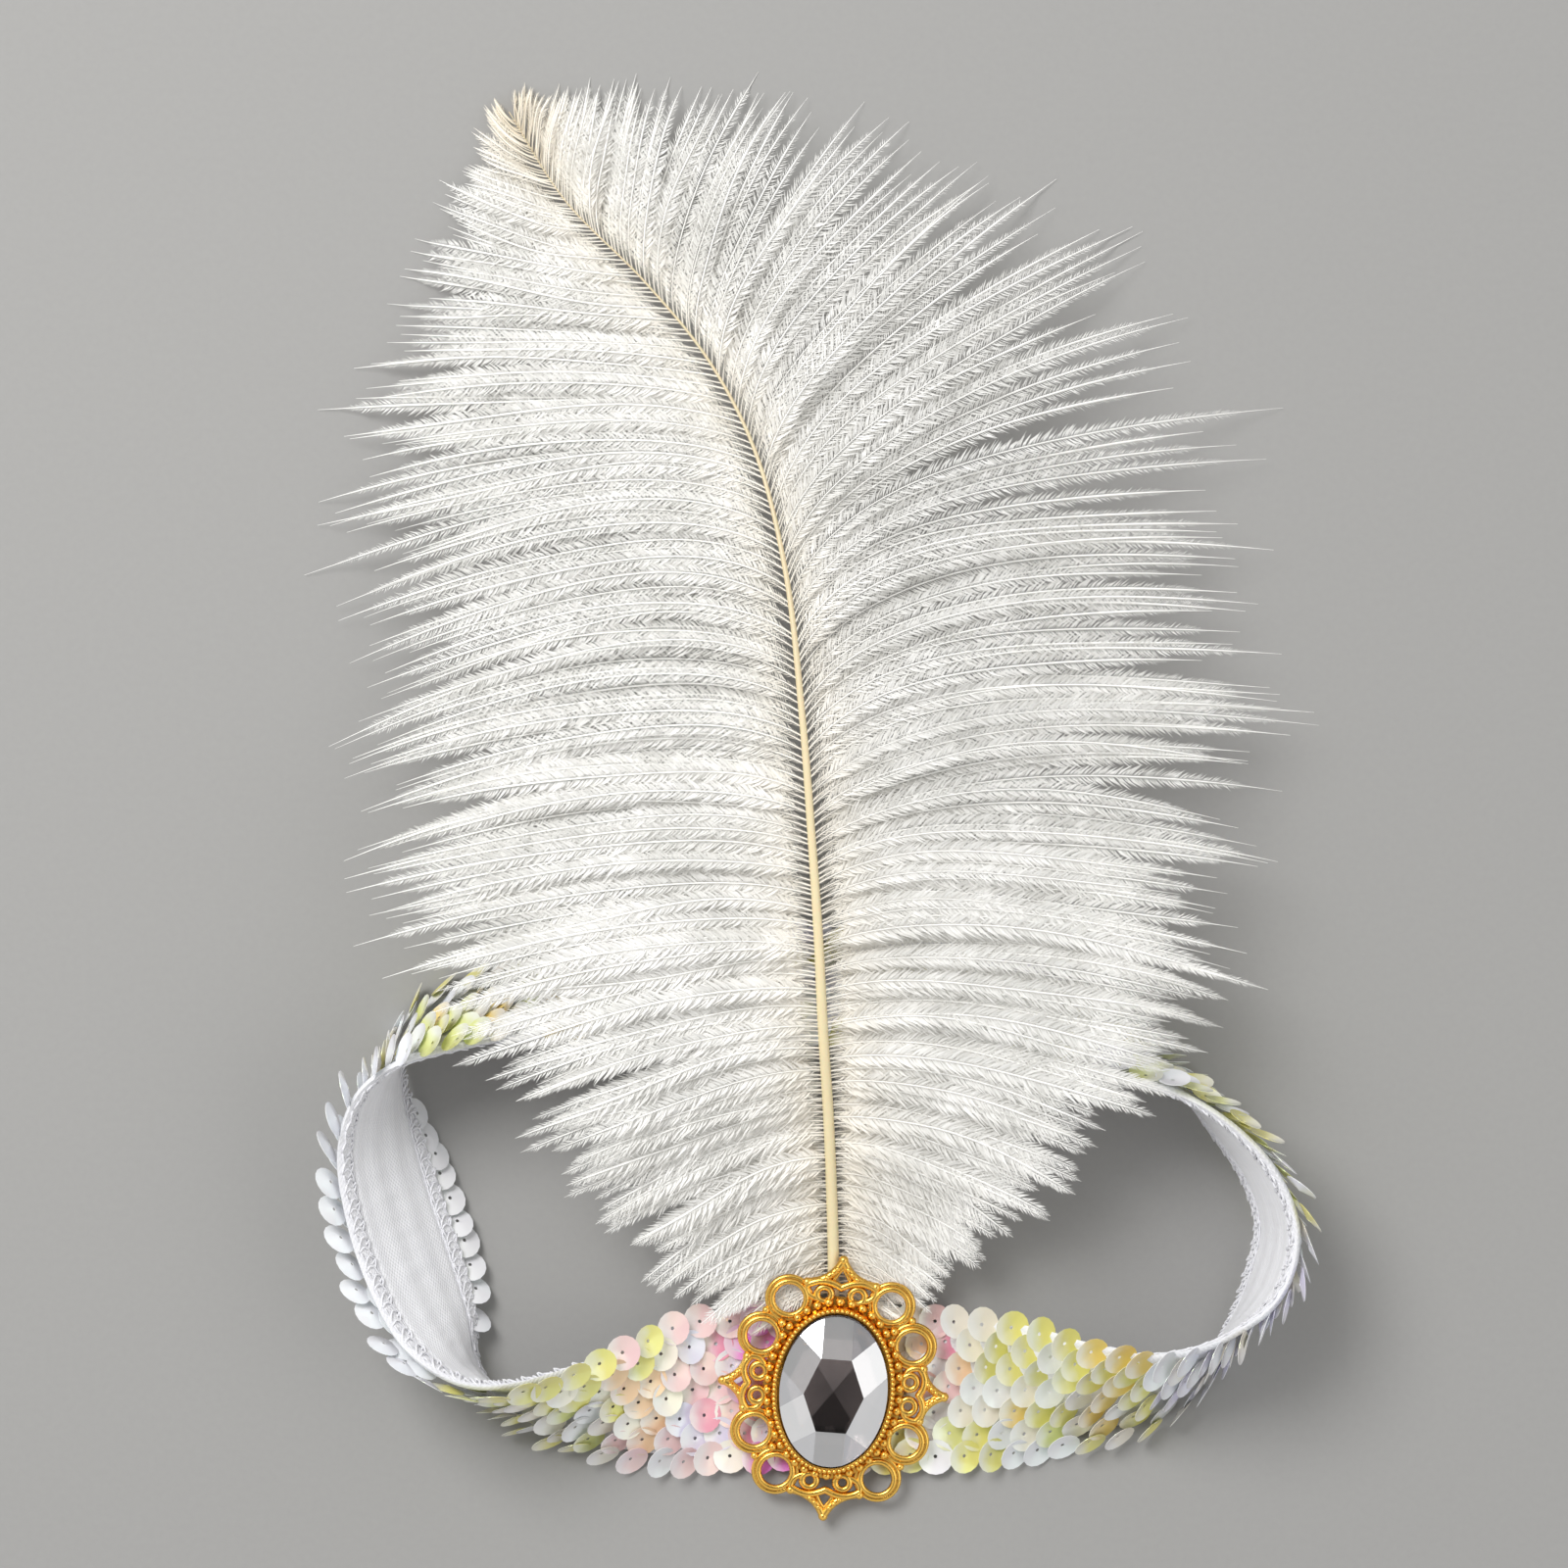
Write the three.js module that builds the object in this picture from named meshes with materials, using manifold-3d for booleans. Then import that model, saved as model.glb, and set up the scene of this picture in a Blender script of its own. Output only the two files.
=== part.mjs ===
// Flapper headband lying face up on a table: an elastic loop covered with sequins, a gilt filigree brooch
// with one cut stone on its front, and an ostrich plume that runs back from under the brooch.
// Millimetres, +Z up, +Y towards the tip of the plume. The tables count from the middle of the brooch.
import * as THREE from "three";
import { mergeVertices } from "three/addons/utils/BufferGeometryUtils.js";
import Module from "manifold-3d";

const wasm = await Module();
wasm.setup();

const gap = 0.3; // between pieces that lie on each other

// Elastic loop: a row for each bend of the ribbon's middle line, seen from above. lean is how far the outer
// face looks up in degrees: 90 lies flat, 0 stands on edge, and below 0 the inner face shows.
const bandWidth = 21.5;
const bandThickness = 1.2;
const bandRows = [
  { x: 0, y: -0.5, lean: 90 },
  { x: -20, y: -0.6, lean: 90 },
  { x: -31, y: -1.4, lean: 65 },
  { x: -40, y: -1.7, lean: 42 },
  { x: -50, y: -0.8, lean: 22 },
  { x: -58, y: 3, lean: -2 },
  { x: -63.4, y: 11, lean: -32 },
  { x: -67.6, y: 20.5, lean: -42 },
  { x: -70.8, y: 30.2, lean: -42 },
  { x: -72.8, y: 40, lean: -35 },
  { x: -72.4, y: 48, lean: -18 },
  { x: -69.4, y: 54.5, lean: 6 },
  { x: -63.5, y: 58.8, lean: 20 },
  { x: -52, y: 61.8, lean: 24 },
  { x: -28, y: 64.5, lean: 38 },
  { x: 0, y: 64.5, lean: 42 },
  { x: 28, y: 60.5, lean: 34 },
  { x: 46, y: 54, lean: 14 },
  { x: 55.5, y: 49, lean: 3 },
  { x: 62.6, y: 42.5, lean: -7 },
  { x: 68.4, y: 35, lean: -11 },
  { x: 71.2, y: 26.5, lean: -12 },
  { x: 69, y: 17.5, lean: -10 },
  { x: 64, y: 10.4, lean: 4 },
  { x: 58, y: 4.8, lean: 20 },
  { x: 50, y: 1.2, lean: 34 },
  { x: 40, y: 0.4, lean: 50 },
  { x: 29, y: 0.2, lean: 75 },
  { x: 18, y: -0.5, lean: 90 },
];

// Sequins: rows of overlapping discs, staggered by half a disc from row to row
const sequinsRound = 58;
const sequinRows = 5;
const sequinSteps = 2; // sections for each disc along the loop
const bandSections = sequinsRound * sequinSteps;
const sequinBase = 0.5; // thickness where two discs meet
const sequinRise = 0.8; // how far a disc's free edge lifts
const sequinWave = 0.35; // how far the lift falls off between two discs
const sequinSeam = 0.1; // share of a row where it steps down to the next
const sequinReach = { least: 0.6, most: 2.4 }; // past the edges of the elastic
const pressedHalf = 19; // half the stretch that the brooch presses flat
const pressedRelief = 0.3; // what is left of the lift there

// Brooch: an oval tray round an oval stone. Radii are taken along its length, and past the stone's edge the
// oval grows evenly all round.
const ovalRatio = 0.705; // the stone's width over its length
const broochHeight = 4.35;
const broochTilt = 6;
const broochTurn = -4.5;
const stoneRadius = 12.4;
const stoneHeight = 5.2;
const ovalSides = 24;
const facetTiers = [
  { count: 6, firstTurn: 30, slope: 31.5, atRadius: 5.9, atHeight: 5.2 },
  { count: 12, firstTurn: 0, slope: 43, atRadius: 12.4, atHeight: 1.1 },
];
const trayFloor = 0.7;
const trayWall = 3;
const trayInner = 12.7;
const trayOuter = 13.4;
const flangeRadius = 15;
const flangeHeight = 0.8;
const beadCount = 36;
const beadRadius = 0.75;
const beadRing = 14.2;
const loopRadius = 2.9;
const loopWire = 0.65;
const loops = [
  { x: 8.3, y: 14.3 },
  { x: 12.3, y: 7.9 },
];
const eyeRadius = 1.25;
const eyeWire = 0.5;
const archDepth = 1.2;
const archWaist = { share: 0.7, belowTip: 2 }; // where its sides bend in
const archFrame = { tip: 1.6, side: 1, foot: 0.75 };
const endOrnament = {
  turns: [0, 180],
  eye: { side: 2.7, out: 15.3 },
  arch: { foot: 16, tip: 21.3, half: 2.6 },
  bead: { side: 5.5, out: 16.5 },
};
const sideOrnament = {
  turns: [90, -90],
  eye: { side: 1.8, out: 12.3 },
  arch: { foot: 13, tip: 18.5, half: 2.1 },
  bead: { side: 2.2, out: 14.6 },
};

// Quill: a row for each bend, from its foot under the brooch to the tip of the plume
const quillSides = 6;
const quillSections = 30;
const quillRadius = { foot: 0.85, tip: 0.3 };
const quillRows = [
  { x: 0, y: 4, z: 3.65 },
  { x: 0, y: 12.5, z: 4.45 },
  { x: 0, y: 21, z: 5.6 },
  { x: -0.8, y: 43.2, z: 15.5 },
  { x: -1.8, y: 58.7, z: 22.6 },
  { x: -2.6, y: 74.2, z: 27 },
  { x: -3.7, y: 90.2, z: 29.6 },
  { x: -5.1, y: 108.2, z: 30.5 },
  { x: -7.8, y: 131.7, z: 29 },
  { x: -12.6, y: 150.7, z: 25.5 },
  { x: -20, y: 165.4, z: 20.5 },
  { x: -30.4, y: 178.6, z: 14.5 },
  { x: -43.5, y: 192.5, z: 7.5 },
  { x: -52.8, y: 207.5, z: 1.6 },
];

// Plume: how far the barbs reach from the quill on either side, by where they leave it, and how high their
// tips lie. They stay high where they cross the back of the loop and come down to the table past it.
const stripWidth = 1.2;
const stripHeight = 0.9;
const lockCount = 21;
const lockRings = 6;
const lockCrown = 0.42; // half a lock's thickness along its middle
const lockShare = 0.46; // half a lock's width, as a share of the pitch
const lockTaper = { loss: 0.99, power: 5 }; // how a lock narrows towards its tip
const lockEdgeCrown = 0.35; // share of the thickness that is left at the tip
const lockUneven = { share: 0.07, turn: 2.4 }; // how much shorter some locks are
const lockSpan = { first: 0.062, last: 0.985 }; // shares of the quill that carry barbs
const tipFloor = 0.2;
const droopPower = 1.8; // barbs stay level first and come down near their tips
const leaveAngle = { foot: 84, left: 62, right: 34 }; // degrees between a barb and the quill where it leaves
const leaveRun = 0.26; // share of the reach that holds this direction
const leaveSettles = { from: 0.08, to: 0.4 }; // stretch of the quill where the angle changes
const plumeRows = [
  { rootY: 17.5, leftX: -16.8, leftY: -5.2, rightX: 16, rightY: -3.2, tipZ: 4.7 },
  { rootY: 29.4, leftX: -33.4, leftY: -7.7, rightX: 26.6, rightY: -6.4, tipZ: 9 },
  { rootY: 42.2, leftX: -45.3, leftY: -3.2, rightX: 47.2, rightY: -1.6, tipZ: 23 },
  { rootY: 50.2, leftX: -51, leftY: -1.6, rightX: 54.5, rightY: 3, tipZ: 30 },
  { rootY: 58.7, leftX: -57.4, leftY: -0.5, rightX: 61.8, rightY: 7.5, tipZ: 29.5 },
  { rootY: 66, leftX: -66, leftY: 2, rightX: 67, rightY: 10, tipZ: 27 },
  { rootY: 74.2, leftX: -72.6, leftY: 5.6, rightX: 70.6, rightY: 12, tipZ: 20 },
  { rootY: 90.2, leftX: -74.7, leftY: 8, rightX: 74.1, rightY: 14.4, tipZ: 12 },
  { rootY: 108.2, leftX: -73.3, leftY: 9.3, rightX: 76.6, rightY: 15.7, tipZ: 6 },
  { rootY: 127, leftX: -80.2, leftY: 8, rightX: 77.8, rightY: 20, tipZ: 2.5 },
  { rootY: 141.9, leftX: -75, leftY: 11.5, rightX: 71.7, rightY: 28.3, tipZ: 0.9 },
  { rootY: 157.4, leftX: -56.6, leftY: 14.7, rightX: 54.9, rightY: 33.3, tipZ: 0.2 },
  { rootY: 171.8, leftX: -43.4, leftY: 11.7, rightX: 37.4, rightY: 33.6, tipZ: 0.2 },
  { rootY: 183, leftX: -30.2, leftY: 7.4, rightX: 24.8, rightY: 27.8, tipZ: 0.2 },
  { rootY: 194.2, leftX: -15.2, leftY: 5.1, rightX: 12.3, rightY: 17.3, tipZ: 0.6 },
  { rootY: 207, leftX: -2.5, leftY: 0.8, rightX: 2.5, rightY: 4, tipZ: 0.8 },
];

const up = new THREE.Vector3(0, 0, 1);
const radians = THREE.MathUtils.degToRad;
const mix = THREE.MathUtils.lerp;

// A closed skin over rings of points. Each ring turns from its side direction towards its top. The diagonals
// are swapped where the underside of one skin has to match the top of another on a twisted ribbon.
function skinGeometry(rings, isLoop, isSwapped = false) {
  const count = rings[0].length;
  const faces = [];
  const spans = isLoop ? rings.length : rings.length - 1;
  for (let i = 0; i < spans; i++) {
    const here = i * count;
    const next = ((i + 1) % rings.length) * count;
    for (let j = 0; j < count; j++) {
      const k = (j + 1) % count;
      faces.push(here + j, next + j, isSwapped ? here + k : next + k);
      faces.push(isSwapped ? next + j : here + j, next + k, here + k);
    }
  }
  const last = (rings.length - 1) * count;
  for (let j = 1; j < count - 1 && !isLoop; j++) {
    faces.push(0, j, j + 1);
    faces.push(last, last + j + 1, last + j);
  }
  const geometry = new THREE.BufferGeometry().setFromPoints(rings.flat());
  geometry.setIndex(faces);
  return geometry;
}

function solidOf(geometry) {
  const bare = geometry.clone();
  bare.deleteAttribute("normal");
  bare.deleteAttribute("uv");
  const merged = mergeVertices(bare, 1e-4);
  const vertProperties = new Float32Array(merged.attributes.position.array);
  const triVerts = new Uint32Array(merged.index.array);
  return new wasm.Manifold(new wasm.Mesh({ numProp: 3, vertProperties, triVerts }));
}

function geometryOf(solid) {
  const mesh = solid.getMesh();
  const geometry = new THREE.BufferGeometry();
  geometry.setAttribute("position", new THREE.BufferAttribute(mesh.vertProperties, 3));
  geometry.setIndex(new THREE.BufferAttribute(mesh.triVerts, 1));
  return geometry;
}

function joined(geometries) {
  return geometryOf(geometries.map(solidOf).reduce((whole, next) => whole.add(next)));
}

function meshOf(name, geometry, color, roughness, metalness) {
  geometry.computeVertexNormals();
  const mesh = new THREE.Mesh(geometry, new THREE.MeshStandardMaterial({ color, roughness, metalness }));
  mesh.name = name;
  return mesh;
}

// Elastic loop and sequins. A section of the ribbon lies in its own plane: across runs from the edge on the
// table to the upper edge, and outward is the way the outer face looks.
const leanScale = 100; // keeps the lean small beside the lengths that space the curve
const bandLine = new THREE.CatmullRomCurve3(
  bandRows.map((row) => new THREE.Vector3(row.x, row.y, row.lean / leanScale)),
  true,
);
const sequinFoot = bandThickness / 2 + gap;
const sequinTop = sequinFoot + sequinBase + sequinRise;
const sequinHalf = bandWidth / 2 + sequinReach.most;
const sectionCorners = [
  { across: -bandWidth / 2, out: -bandThickness / 2 },
  { across: bandWidth / 2, out: -bandThickness / 2 },
  { across: -sequinHalf, out: sequinFoot + sequinBase },
  { across: -sequinHalf, out: sequinTop },
];

function bandSection(share) {
  const point = bandLine.getPointAt(share % 1);
  const tangent = bandLine.getTangentAt(share % 1);
  const lean = radians(Math.min(90, point.z * leanScale));
  const away = new THREE.Vector3(-tangent.y, tangent.x, 0).normalize();
  const across = up.clone().multiplyScalar(Math.cos(lean)).addScaledVector(away, -Math.sin(lean));
  const outward = away.clone().multiplyScalar(Math.cos(lean)).addScaledVector(up, Math.sin(lean));
  const heights = sectionCorners.map((corner) => across.z * corner.across + outward.z * corner.out);
  const middle = new THREE.Vector3(point.x, point.y, -Math.min(...heights));
  const place = (v, h) => middle.clone().addScaledVector(across, v).addScaledVector(outward, h);
  return { place, middle };
}

function elasticGeometry() {
  const edge = bandWidth / 2;
  const face = bandThickness / 2;
  const corners = [[edge, face], [-edge, face], [-edge, -face], [edge, -face]];
  const rings = [];
  for (let i = 0; i < bandSections; i++) {
    const section = bandSection(i / bandSections);
    rings.push(corners.map(([across, out]) => section.place(across, out)));
  }
  return skinGeometry(rings, true);
}

function sequinGeometry() {
  const rings = [];
  const edge = bandWidth / 2;
  for (let i = 0; i < bandSections; i++) {
    const section = bandSection(i / bandSections);
    const isPressed = Math.abs(section.middle.x) < pressedHalf && section.middle.y < edge;
    const relief = isPressed ? pressedRelief : 1;
    const phase = (2 * Math.PI * i) / sequinSteps;
    const reach = mix(sequinReach.least, sequinReach.most, 0.5 + 0.5 * Math.cos(phase));
    const half = edge + reach;
    const pitch = (2 * half) / sequinRows;
    const ring = [];
    for (let row = 0; row < sequinRows; row++) {
      const wave = sequinWave * Math.cos(phase + Math.PI * row);
      const free = half - row * pitch;
      ring.push(section.place(free, sequinFoot + sequinBase + relief * (sequinRise - sequinWave + wave)));
      const seam = row < sequinRows - 1 ? sequinSeam * pitch : 0;
      ring.push(section.place(free - pitch + seam, sequinFoot + sequinBase));
    }
    ring.push(section.place(-edge, sequinFoot));
    ring.push(section.place(edge, sequinFoot));
    rings.push(ring);
  }
  return skinGeometry(rings, true, true);
}

// Brooch, in its own plane with its back at zero height
function ovalPoint(angle, radius) {
  const inside = Math.min(radius, stoneRadius);
  const away = new THREE.Vector2(Math.cos(angle) / ovalRatio, Math.sin(angle)).normalize();
  return new THREE.Vector2(ovalRatio * inside * Math.cos(angle), inside * Math.sin(angle))
    .addScaledVector(away, radius - inside);
}

function trayGeometry() {
  const profile = [
    new THREE.Vector2(0, 0),
    new THREE.Vector2(flangeRadius, 0),
    new THREE.Vector2(flangeRadius, flangeHeight),
    new THREE.Vector2(trayOuter, flangeHeight),
    new THREE.Vector2(trayOuter, trayWall),
    new THREE.Vector2(trayInner, trayWall),
    new THREE.Vector2(trayInner, trayFloor),
    new THREE.Vector2(0, trayFloor),
  ];
  const tray = new THREE.LatheGeometry(profile, ovalSides).rotateX(Math.PI / 2);
  const places = tray.attributes.position;
  for (let i = 0; i < places.count; i++) {
    const [x, y] = [places.getX(i), places.getY(i)];
    const point = ovalPoint(Math.atan2(y, x), Math.hypot(x, y));
    places.setXY(i, point.x, point.y);
  }
  return tray;
}

function beadGeometry(x, y, z) {
  return new THREE.IcosahedronGeometry(beadRadius).translate(x, y, z);
}

function archGeometry({ foot, tip, half }) {
  const outline = new THREE.Shape();
  outline.moveTo(-half, foot);
  outline.lineTo(half, foot);
  const waistX = half * archWaist.share;
  const waistY = tip - archWaist.belowTip;
  outline.quadraticCurveTo(waistX, waistY, 0, tip);
  outline.quadraticCurveTo(-waistX, waistY, -half, foot);
  const opening = new THREE.Path();
  opening.moveTo(0, tip - archFrame.tip);
  opening.lineTo(half - archFrame.side, foot + archFrame.foot);
  opening.lineTo(-half + archFrame.side, foot + archFrame.foot);
  opening.closePath();
  outline.holes.push(opening);
  return new THREE.ExtrudeGeometry(outline, { depth: archDepth, bevelEnabled: false, curveSegments: 2 });
}

function ornamentGeometries({ eye, arch, bead }) {
  const pieces = [archGeometry(arch), beadGeometry(0, arch.tip - beadRadius, beadRadius)];
  for (const side of [1, -1]) {
    const ring = new THREE.TorusGeometry(eyeRadius, eyeWire, 5, 8);
    pieces.push(ring.translate(side * eye.side, eye.out, eyeWire));
    pieces.push(beadGeometry(side * bead.side, bead.out, beadRadius));
  }
  return pieces;
}

function settingGeometry() {
  const pieces = [trayGeometry()];
  const [ringX, ringY] = [ovalPoint(0, beadRing).x, ovalPoint(Math.PI / 2, beadRing).y];
  const ring = new THREE.EllipseCurve(0, 0, ringX, ringY);
  for (const bead of ring.getSpacedPoints(beadCount).slice(0, beadCount)) {
    pieces.push(beadGeometry(bead.x, bead.y, flangeHeight + beadRadius / 2));
  }
  for (const loop of loops) {
    for (const [sideX, sideY] of [[1, 1], [-1, 1], [-1, -1], [1, -1]]) {
      const wire = new THREE.TorusGeometry(loopRadius, loopWire, 5, 10);
      pieces.push(wire.translate(sideX * loop.x, sideY * loop.y, loopWire));
    }
  }
  for (const ornament of [endOrnament, sideOrnament]) {
    for (const turn of ornament.turns) {
      pieces.push(...ornamentGeometries(ornament).map((piece) => piece.rotateZ(radians(turn))));
    }
  }
  return joined(pieces);
}

// Oval stone: a round blank cut by its facets, then drawn in to the oval
function stoneGeometry() {
  const blank = new THREE.CylinderGeometry(stoneRadius, stoneRadius, stoneHeight, ovalSides);
  let stone = solidOf(blank.rotateX(Math.PI / 2).translate(0, 0, stoneHeight / 2));
  const size = 4 * stoneRadius;
  for (const tier of facetTiers) {
    for (let i = 0; i < tier.count; i++) {
      const knife = new THREE.BoxGeometry(size, size, size).translate(0, 0, size / 2);
      knife.rotateY(radians(tier.slope)).translate(tier.atRadius, 0, tier.atHeight);
      knife.rotateZ(radians(tier.firstTurn + (360 * i) / tier.count));
      stone = stone.subtract(solidOf(knife));
    }
  }
  return geometryOf(stone).scale(ovalRatio, 1, 1).translate(0, 0, trayFloor + gap);
}

// Quill and plume
const quillLine = new THREE.CatmullRomCurve3(quillRows.map((row) => new THREE.Vector3(row.x, row.y, row.z)));

function quillFrame(share) {
  const point = quillLine.getPointAt(share);
  const tangent = quillLine.getTangentAt(share);
  const side = tangent.clone().cross(up).normalize();
  const top = side.clone().cross(tangent);
  const radius = mix(quillRadius.foot, quillRadius.tip, share);
  return { point, tangent, side, top, radius };
}

function quillGeometry() {
  const rings = [];
  for (let i = 0; i <= quillSections; i++) {
    const { point, side, top, radius } = quillFrame(i / quillSections);
    const ring = [];
    for (let j = 0; j < quillSides; j++) {
      const angle = (2 * Math.PI * j) / quillSides;
      const offset = side.clone().multiplyScalar(radius * Math.cos(angle));
      ring.push(point.clone().add(offset).addScaledVector(top, radius * Math.sin(angle)));
    }
    rings.push(ring);
  }
  return skinGeometry(rings, false);
}

const plumeColumns = ["leftX", "leftY", "rightX", "rightY", "tipZ"];
const plumeTable = new THREE.LinearInterpolant(
  plumeRows.map((row) => row.rootY),
  plumeRows.flatMap((row) => plumeColumns.map((column) => row[column])),
  plumeColumns.length,
);

// A point of the plume: share says where its barb leaves the quill, out how far along the barb it lies.
function plumePoint(hand, share, out) {
  const { point, tangent, side, radius } = quillFrame(share);
  const [leftX, leftY, rightX, rightY, tipZ] = plumeTable.evaluate(point.y);
  const isRight = hand > 0;
  const root = point.clone().addScaledVector(side, hand * (radius + gap + stripWidth / 2));
  const tip = new THREE.Vector3(point.x, point.y, tipZ);
  tip.x += isRight ? rightX : leftX;
  tip.y += isRight ? rightY : leftY;
  const settled = THREE.MathUtils.smoothstep(share, leaveSettles.from, leaveSettles.to);
  const leave = radians(mix(leaveAngle.foot, isRight ? leaveAngle.right : leaveAngle.left, settled));
  const run = leaveRun * root.distanceTo(tip);
  const turn = root.clone().addScaledVector(tangent, run * Math.cos(leave));
  turn.addScaledVector(side, hand * run * Math.sin(leave));
  const place = new THREE.QuadraticBezierCurve3(root, turn, tip).getPoint(out);
  place.z = Math.max(tipFloor, mix(root.z, tipZ, out ** droopPower));
  return place;
}

function lockGeometry(hand, share, pitch, order) {
  const length = 1 - lockUneven.share * (0.5 + 0.5 * Math.sin(lockUneven.turn * order));
  const rings = [];
  for (let i = 0; i < lockRings; i++) {
    const out = i / (lockRings - 1);
    const taper = Math.sqrt(1 - lockTaper.loss * out ** lockTaper.power);
    const half = pitch * lockShare * taper;
    const middle = plumePoint(hand, share, out * length);
    const crown = lockCrown * mix(lockEdgeCrown, 1, taper);
    rings.push([
      plumePoint(hand, share - hand * half, out * length),
      middle.clone().addScaledVector(up, crown),
      plumePoint(hand, share + hand * half, out * length),
      middle.clone().addScaledVector(up, -crown),
    ]);
  }
  return skinGeometry(rings, false);
}

function stripGeometry(hand, first, last) {
  const rings = [];
  for (let i = 0; i <= quillSections; i++) {
    const { point, side, top, radius } = quillFrame(mix(first, last, i / quillSections));
    const middle = point.addScaledVector(side, hand * (radius + gap + stripWidth / 2));
    const corners = [[1, -1], [1, 1], [-1, 1], [-1, -1]];
    rings.push(corners.map(([across, high]) => middle.clone()
      .addScaledVector(side, (across * stripWidth) / 2)
      .addScaledVector(top, (high * stripHeight) / 2)));
  }
  return skinGeometry(rings, false);
}

function plumeGeometry(hand) {
  const pitch = (lockSpan.last - lockSpan.first) / lockCount;
  const pieces = [stripGeometry(hand, lockSpan.first, lockSpan.last)];
  for (let i = 0; i < lockCount; i++) {
    pieces.push(lockGeometry(hand, lockSpan.first + (i + 0.5) * pitch, pitch, i - lockCount * hand));
  }
  return joined(pieces);
}

const brooch = new THREE.Group();
brooch.position.z = broochHeight;
brooch.rotation.set(radians(broochTilt), 0, radians(broochTurn));
brooch.add(meshOf("setting", settingGeometry(), 0xd8b45c, 0.28, 1));
brooch.add(meshOf("stone", stoneGeometry(), 0xd5d4cf, 0.05, 0));

const headband = new THREE.Group();
headband.add(meshOf("elastic_band", elasticGeometry(), 0xecebe9, 0.9, 0));
headband.add(meshOf("sequin_field", sequinGeometry(), 0xe9d9dc, 0.25, 0));
headband.add(brooch);
headband.add(meshOf("quill", quillGeometry(), 0xf0e2bd, 0.5, 0));
headband.add(meshOf("plume_left", plumeGeometry(-1), 0xefeeea, 0.9, 0));
headband.add(meshOf("plume_right", plumeGeometry(1), 0xefeeea, 0.9, 0));

// The origin goes to the middle of the foot of the box
const box = new THREE.Box3().setFromObject(headband, true);
const middle = box.getCenter(new THREE.Vector3());
headband.position.set(-middle.x, -middle.y, -box.min.z);

const part = new THREE.Group();
part.add(headband);

export default part;
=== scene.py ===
# Flapper headband lying face up: sequinned elastic loop, gilt brooch with a cut stone, ostrich plume.
# Tables count in millimetres from the middle of the brooch, and every piece is placed in the model's frame.
import math

import bmesh
import bpy
import numpy as np
from mathutils import Matrix, Vector


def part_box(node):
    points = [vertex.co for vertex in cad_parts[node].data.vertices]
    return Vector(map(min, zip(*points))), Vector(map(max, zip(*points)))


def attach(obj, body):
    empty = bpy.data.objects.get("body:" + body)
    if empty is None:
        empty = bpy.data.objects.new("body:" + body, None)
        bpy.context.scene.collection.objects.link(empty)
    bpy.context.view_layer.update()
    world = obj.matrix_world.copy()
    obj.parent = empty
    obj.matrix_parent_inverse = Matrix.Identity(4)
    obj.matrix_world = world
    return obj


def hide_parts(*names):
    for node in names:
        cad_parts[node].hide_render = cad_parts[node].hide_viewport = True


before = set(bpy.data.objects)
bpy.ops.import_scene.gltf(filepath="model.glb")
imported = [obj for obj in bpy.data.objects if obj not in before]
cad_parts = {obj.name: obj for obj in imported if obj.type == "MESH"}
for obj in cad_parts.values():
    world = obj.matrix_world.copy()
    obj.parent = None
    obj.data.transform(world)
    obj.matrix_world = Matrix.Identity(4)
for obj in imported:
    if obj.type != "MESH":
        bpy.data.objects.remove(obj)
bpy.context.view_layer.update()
mm = 0.001
low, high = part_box("setting")
broochMiddle = np.array([(low[0] + high[0]) / 2, (low[1] + high[1]) / 2, 0.0])
print("frame loaded, nodes:", len(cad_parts))


# Node trees

class Wire:
    # one output socket; sums written with wires add Math nodes
    def __init__(self, tree, socket):
        self.tree = tree
        self.socket = socket

    def at(self, name):
        outputs = [out for out in self.socket.node.outputs if not out.is_unavailable]
        return Wire(self.tree, next(out for out in outputs if out.name == name))

    def maths(self, operation, *values):
        return self.tree.node("ShaderNodeMath", {"operation": operation}, dict(enumerate(values)))

    def __add__(self, other):
        return self.maths("ADD", self, other)

    def __sub__(self, other):
        return self.maths("SUBTRACT", self, other)

    def __rsub__(self, other):
        return self.maths("SUBTRACT", other, self)

    def __mul__(self, other):
        return self.maths("MULTIPLY", self, other)

    def __gt__(self, other):
        return self.maths("GREATER_THAN", self, other)

    def sine(self):
        return self.maths("SINE", self)

    def waves(self, pitch):
        # a sine with one wave for each pitch
        return (self * (2 * math.pi / pitch)).sine()

    def between(self, start, end):
        # 0 before start, 1 after end, smooth in between
        sockets = {"Value": self, "From Min": start, "From Max": end}
        return self.tree.node("ShaderNodeMapRange", {"interpolation_type": "SMOOTHSTEP"}, sockets)

    __radd__ = __add__
    __rmul__ = __mul__


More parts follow.
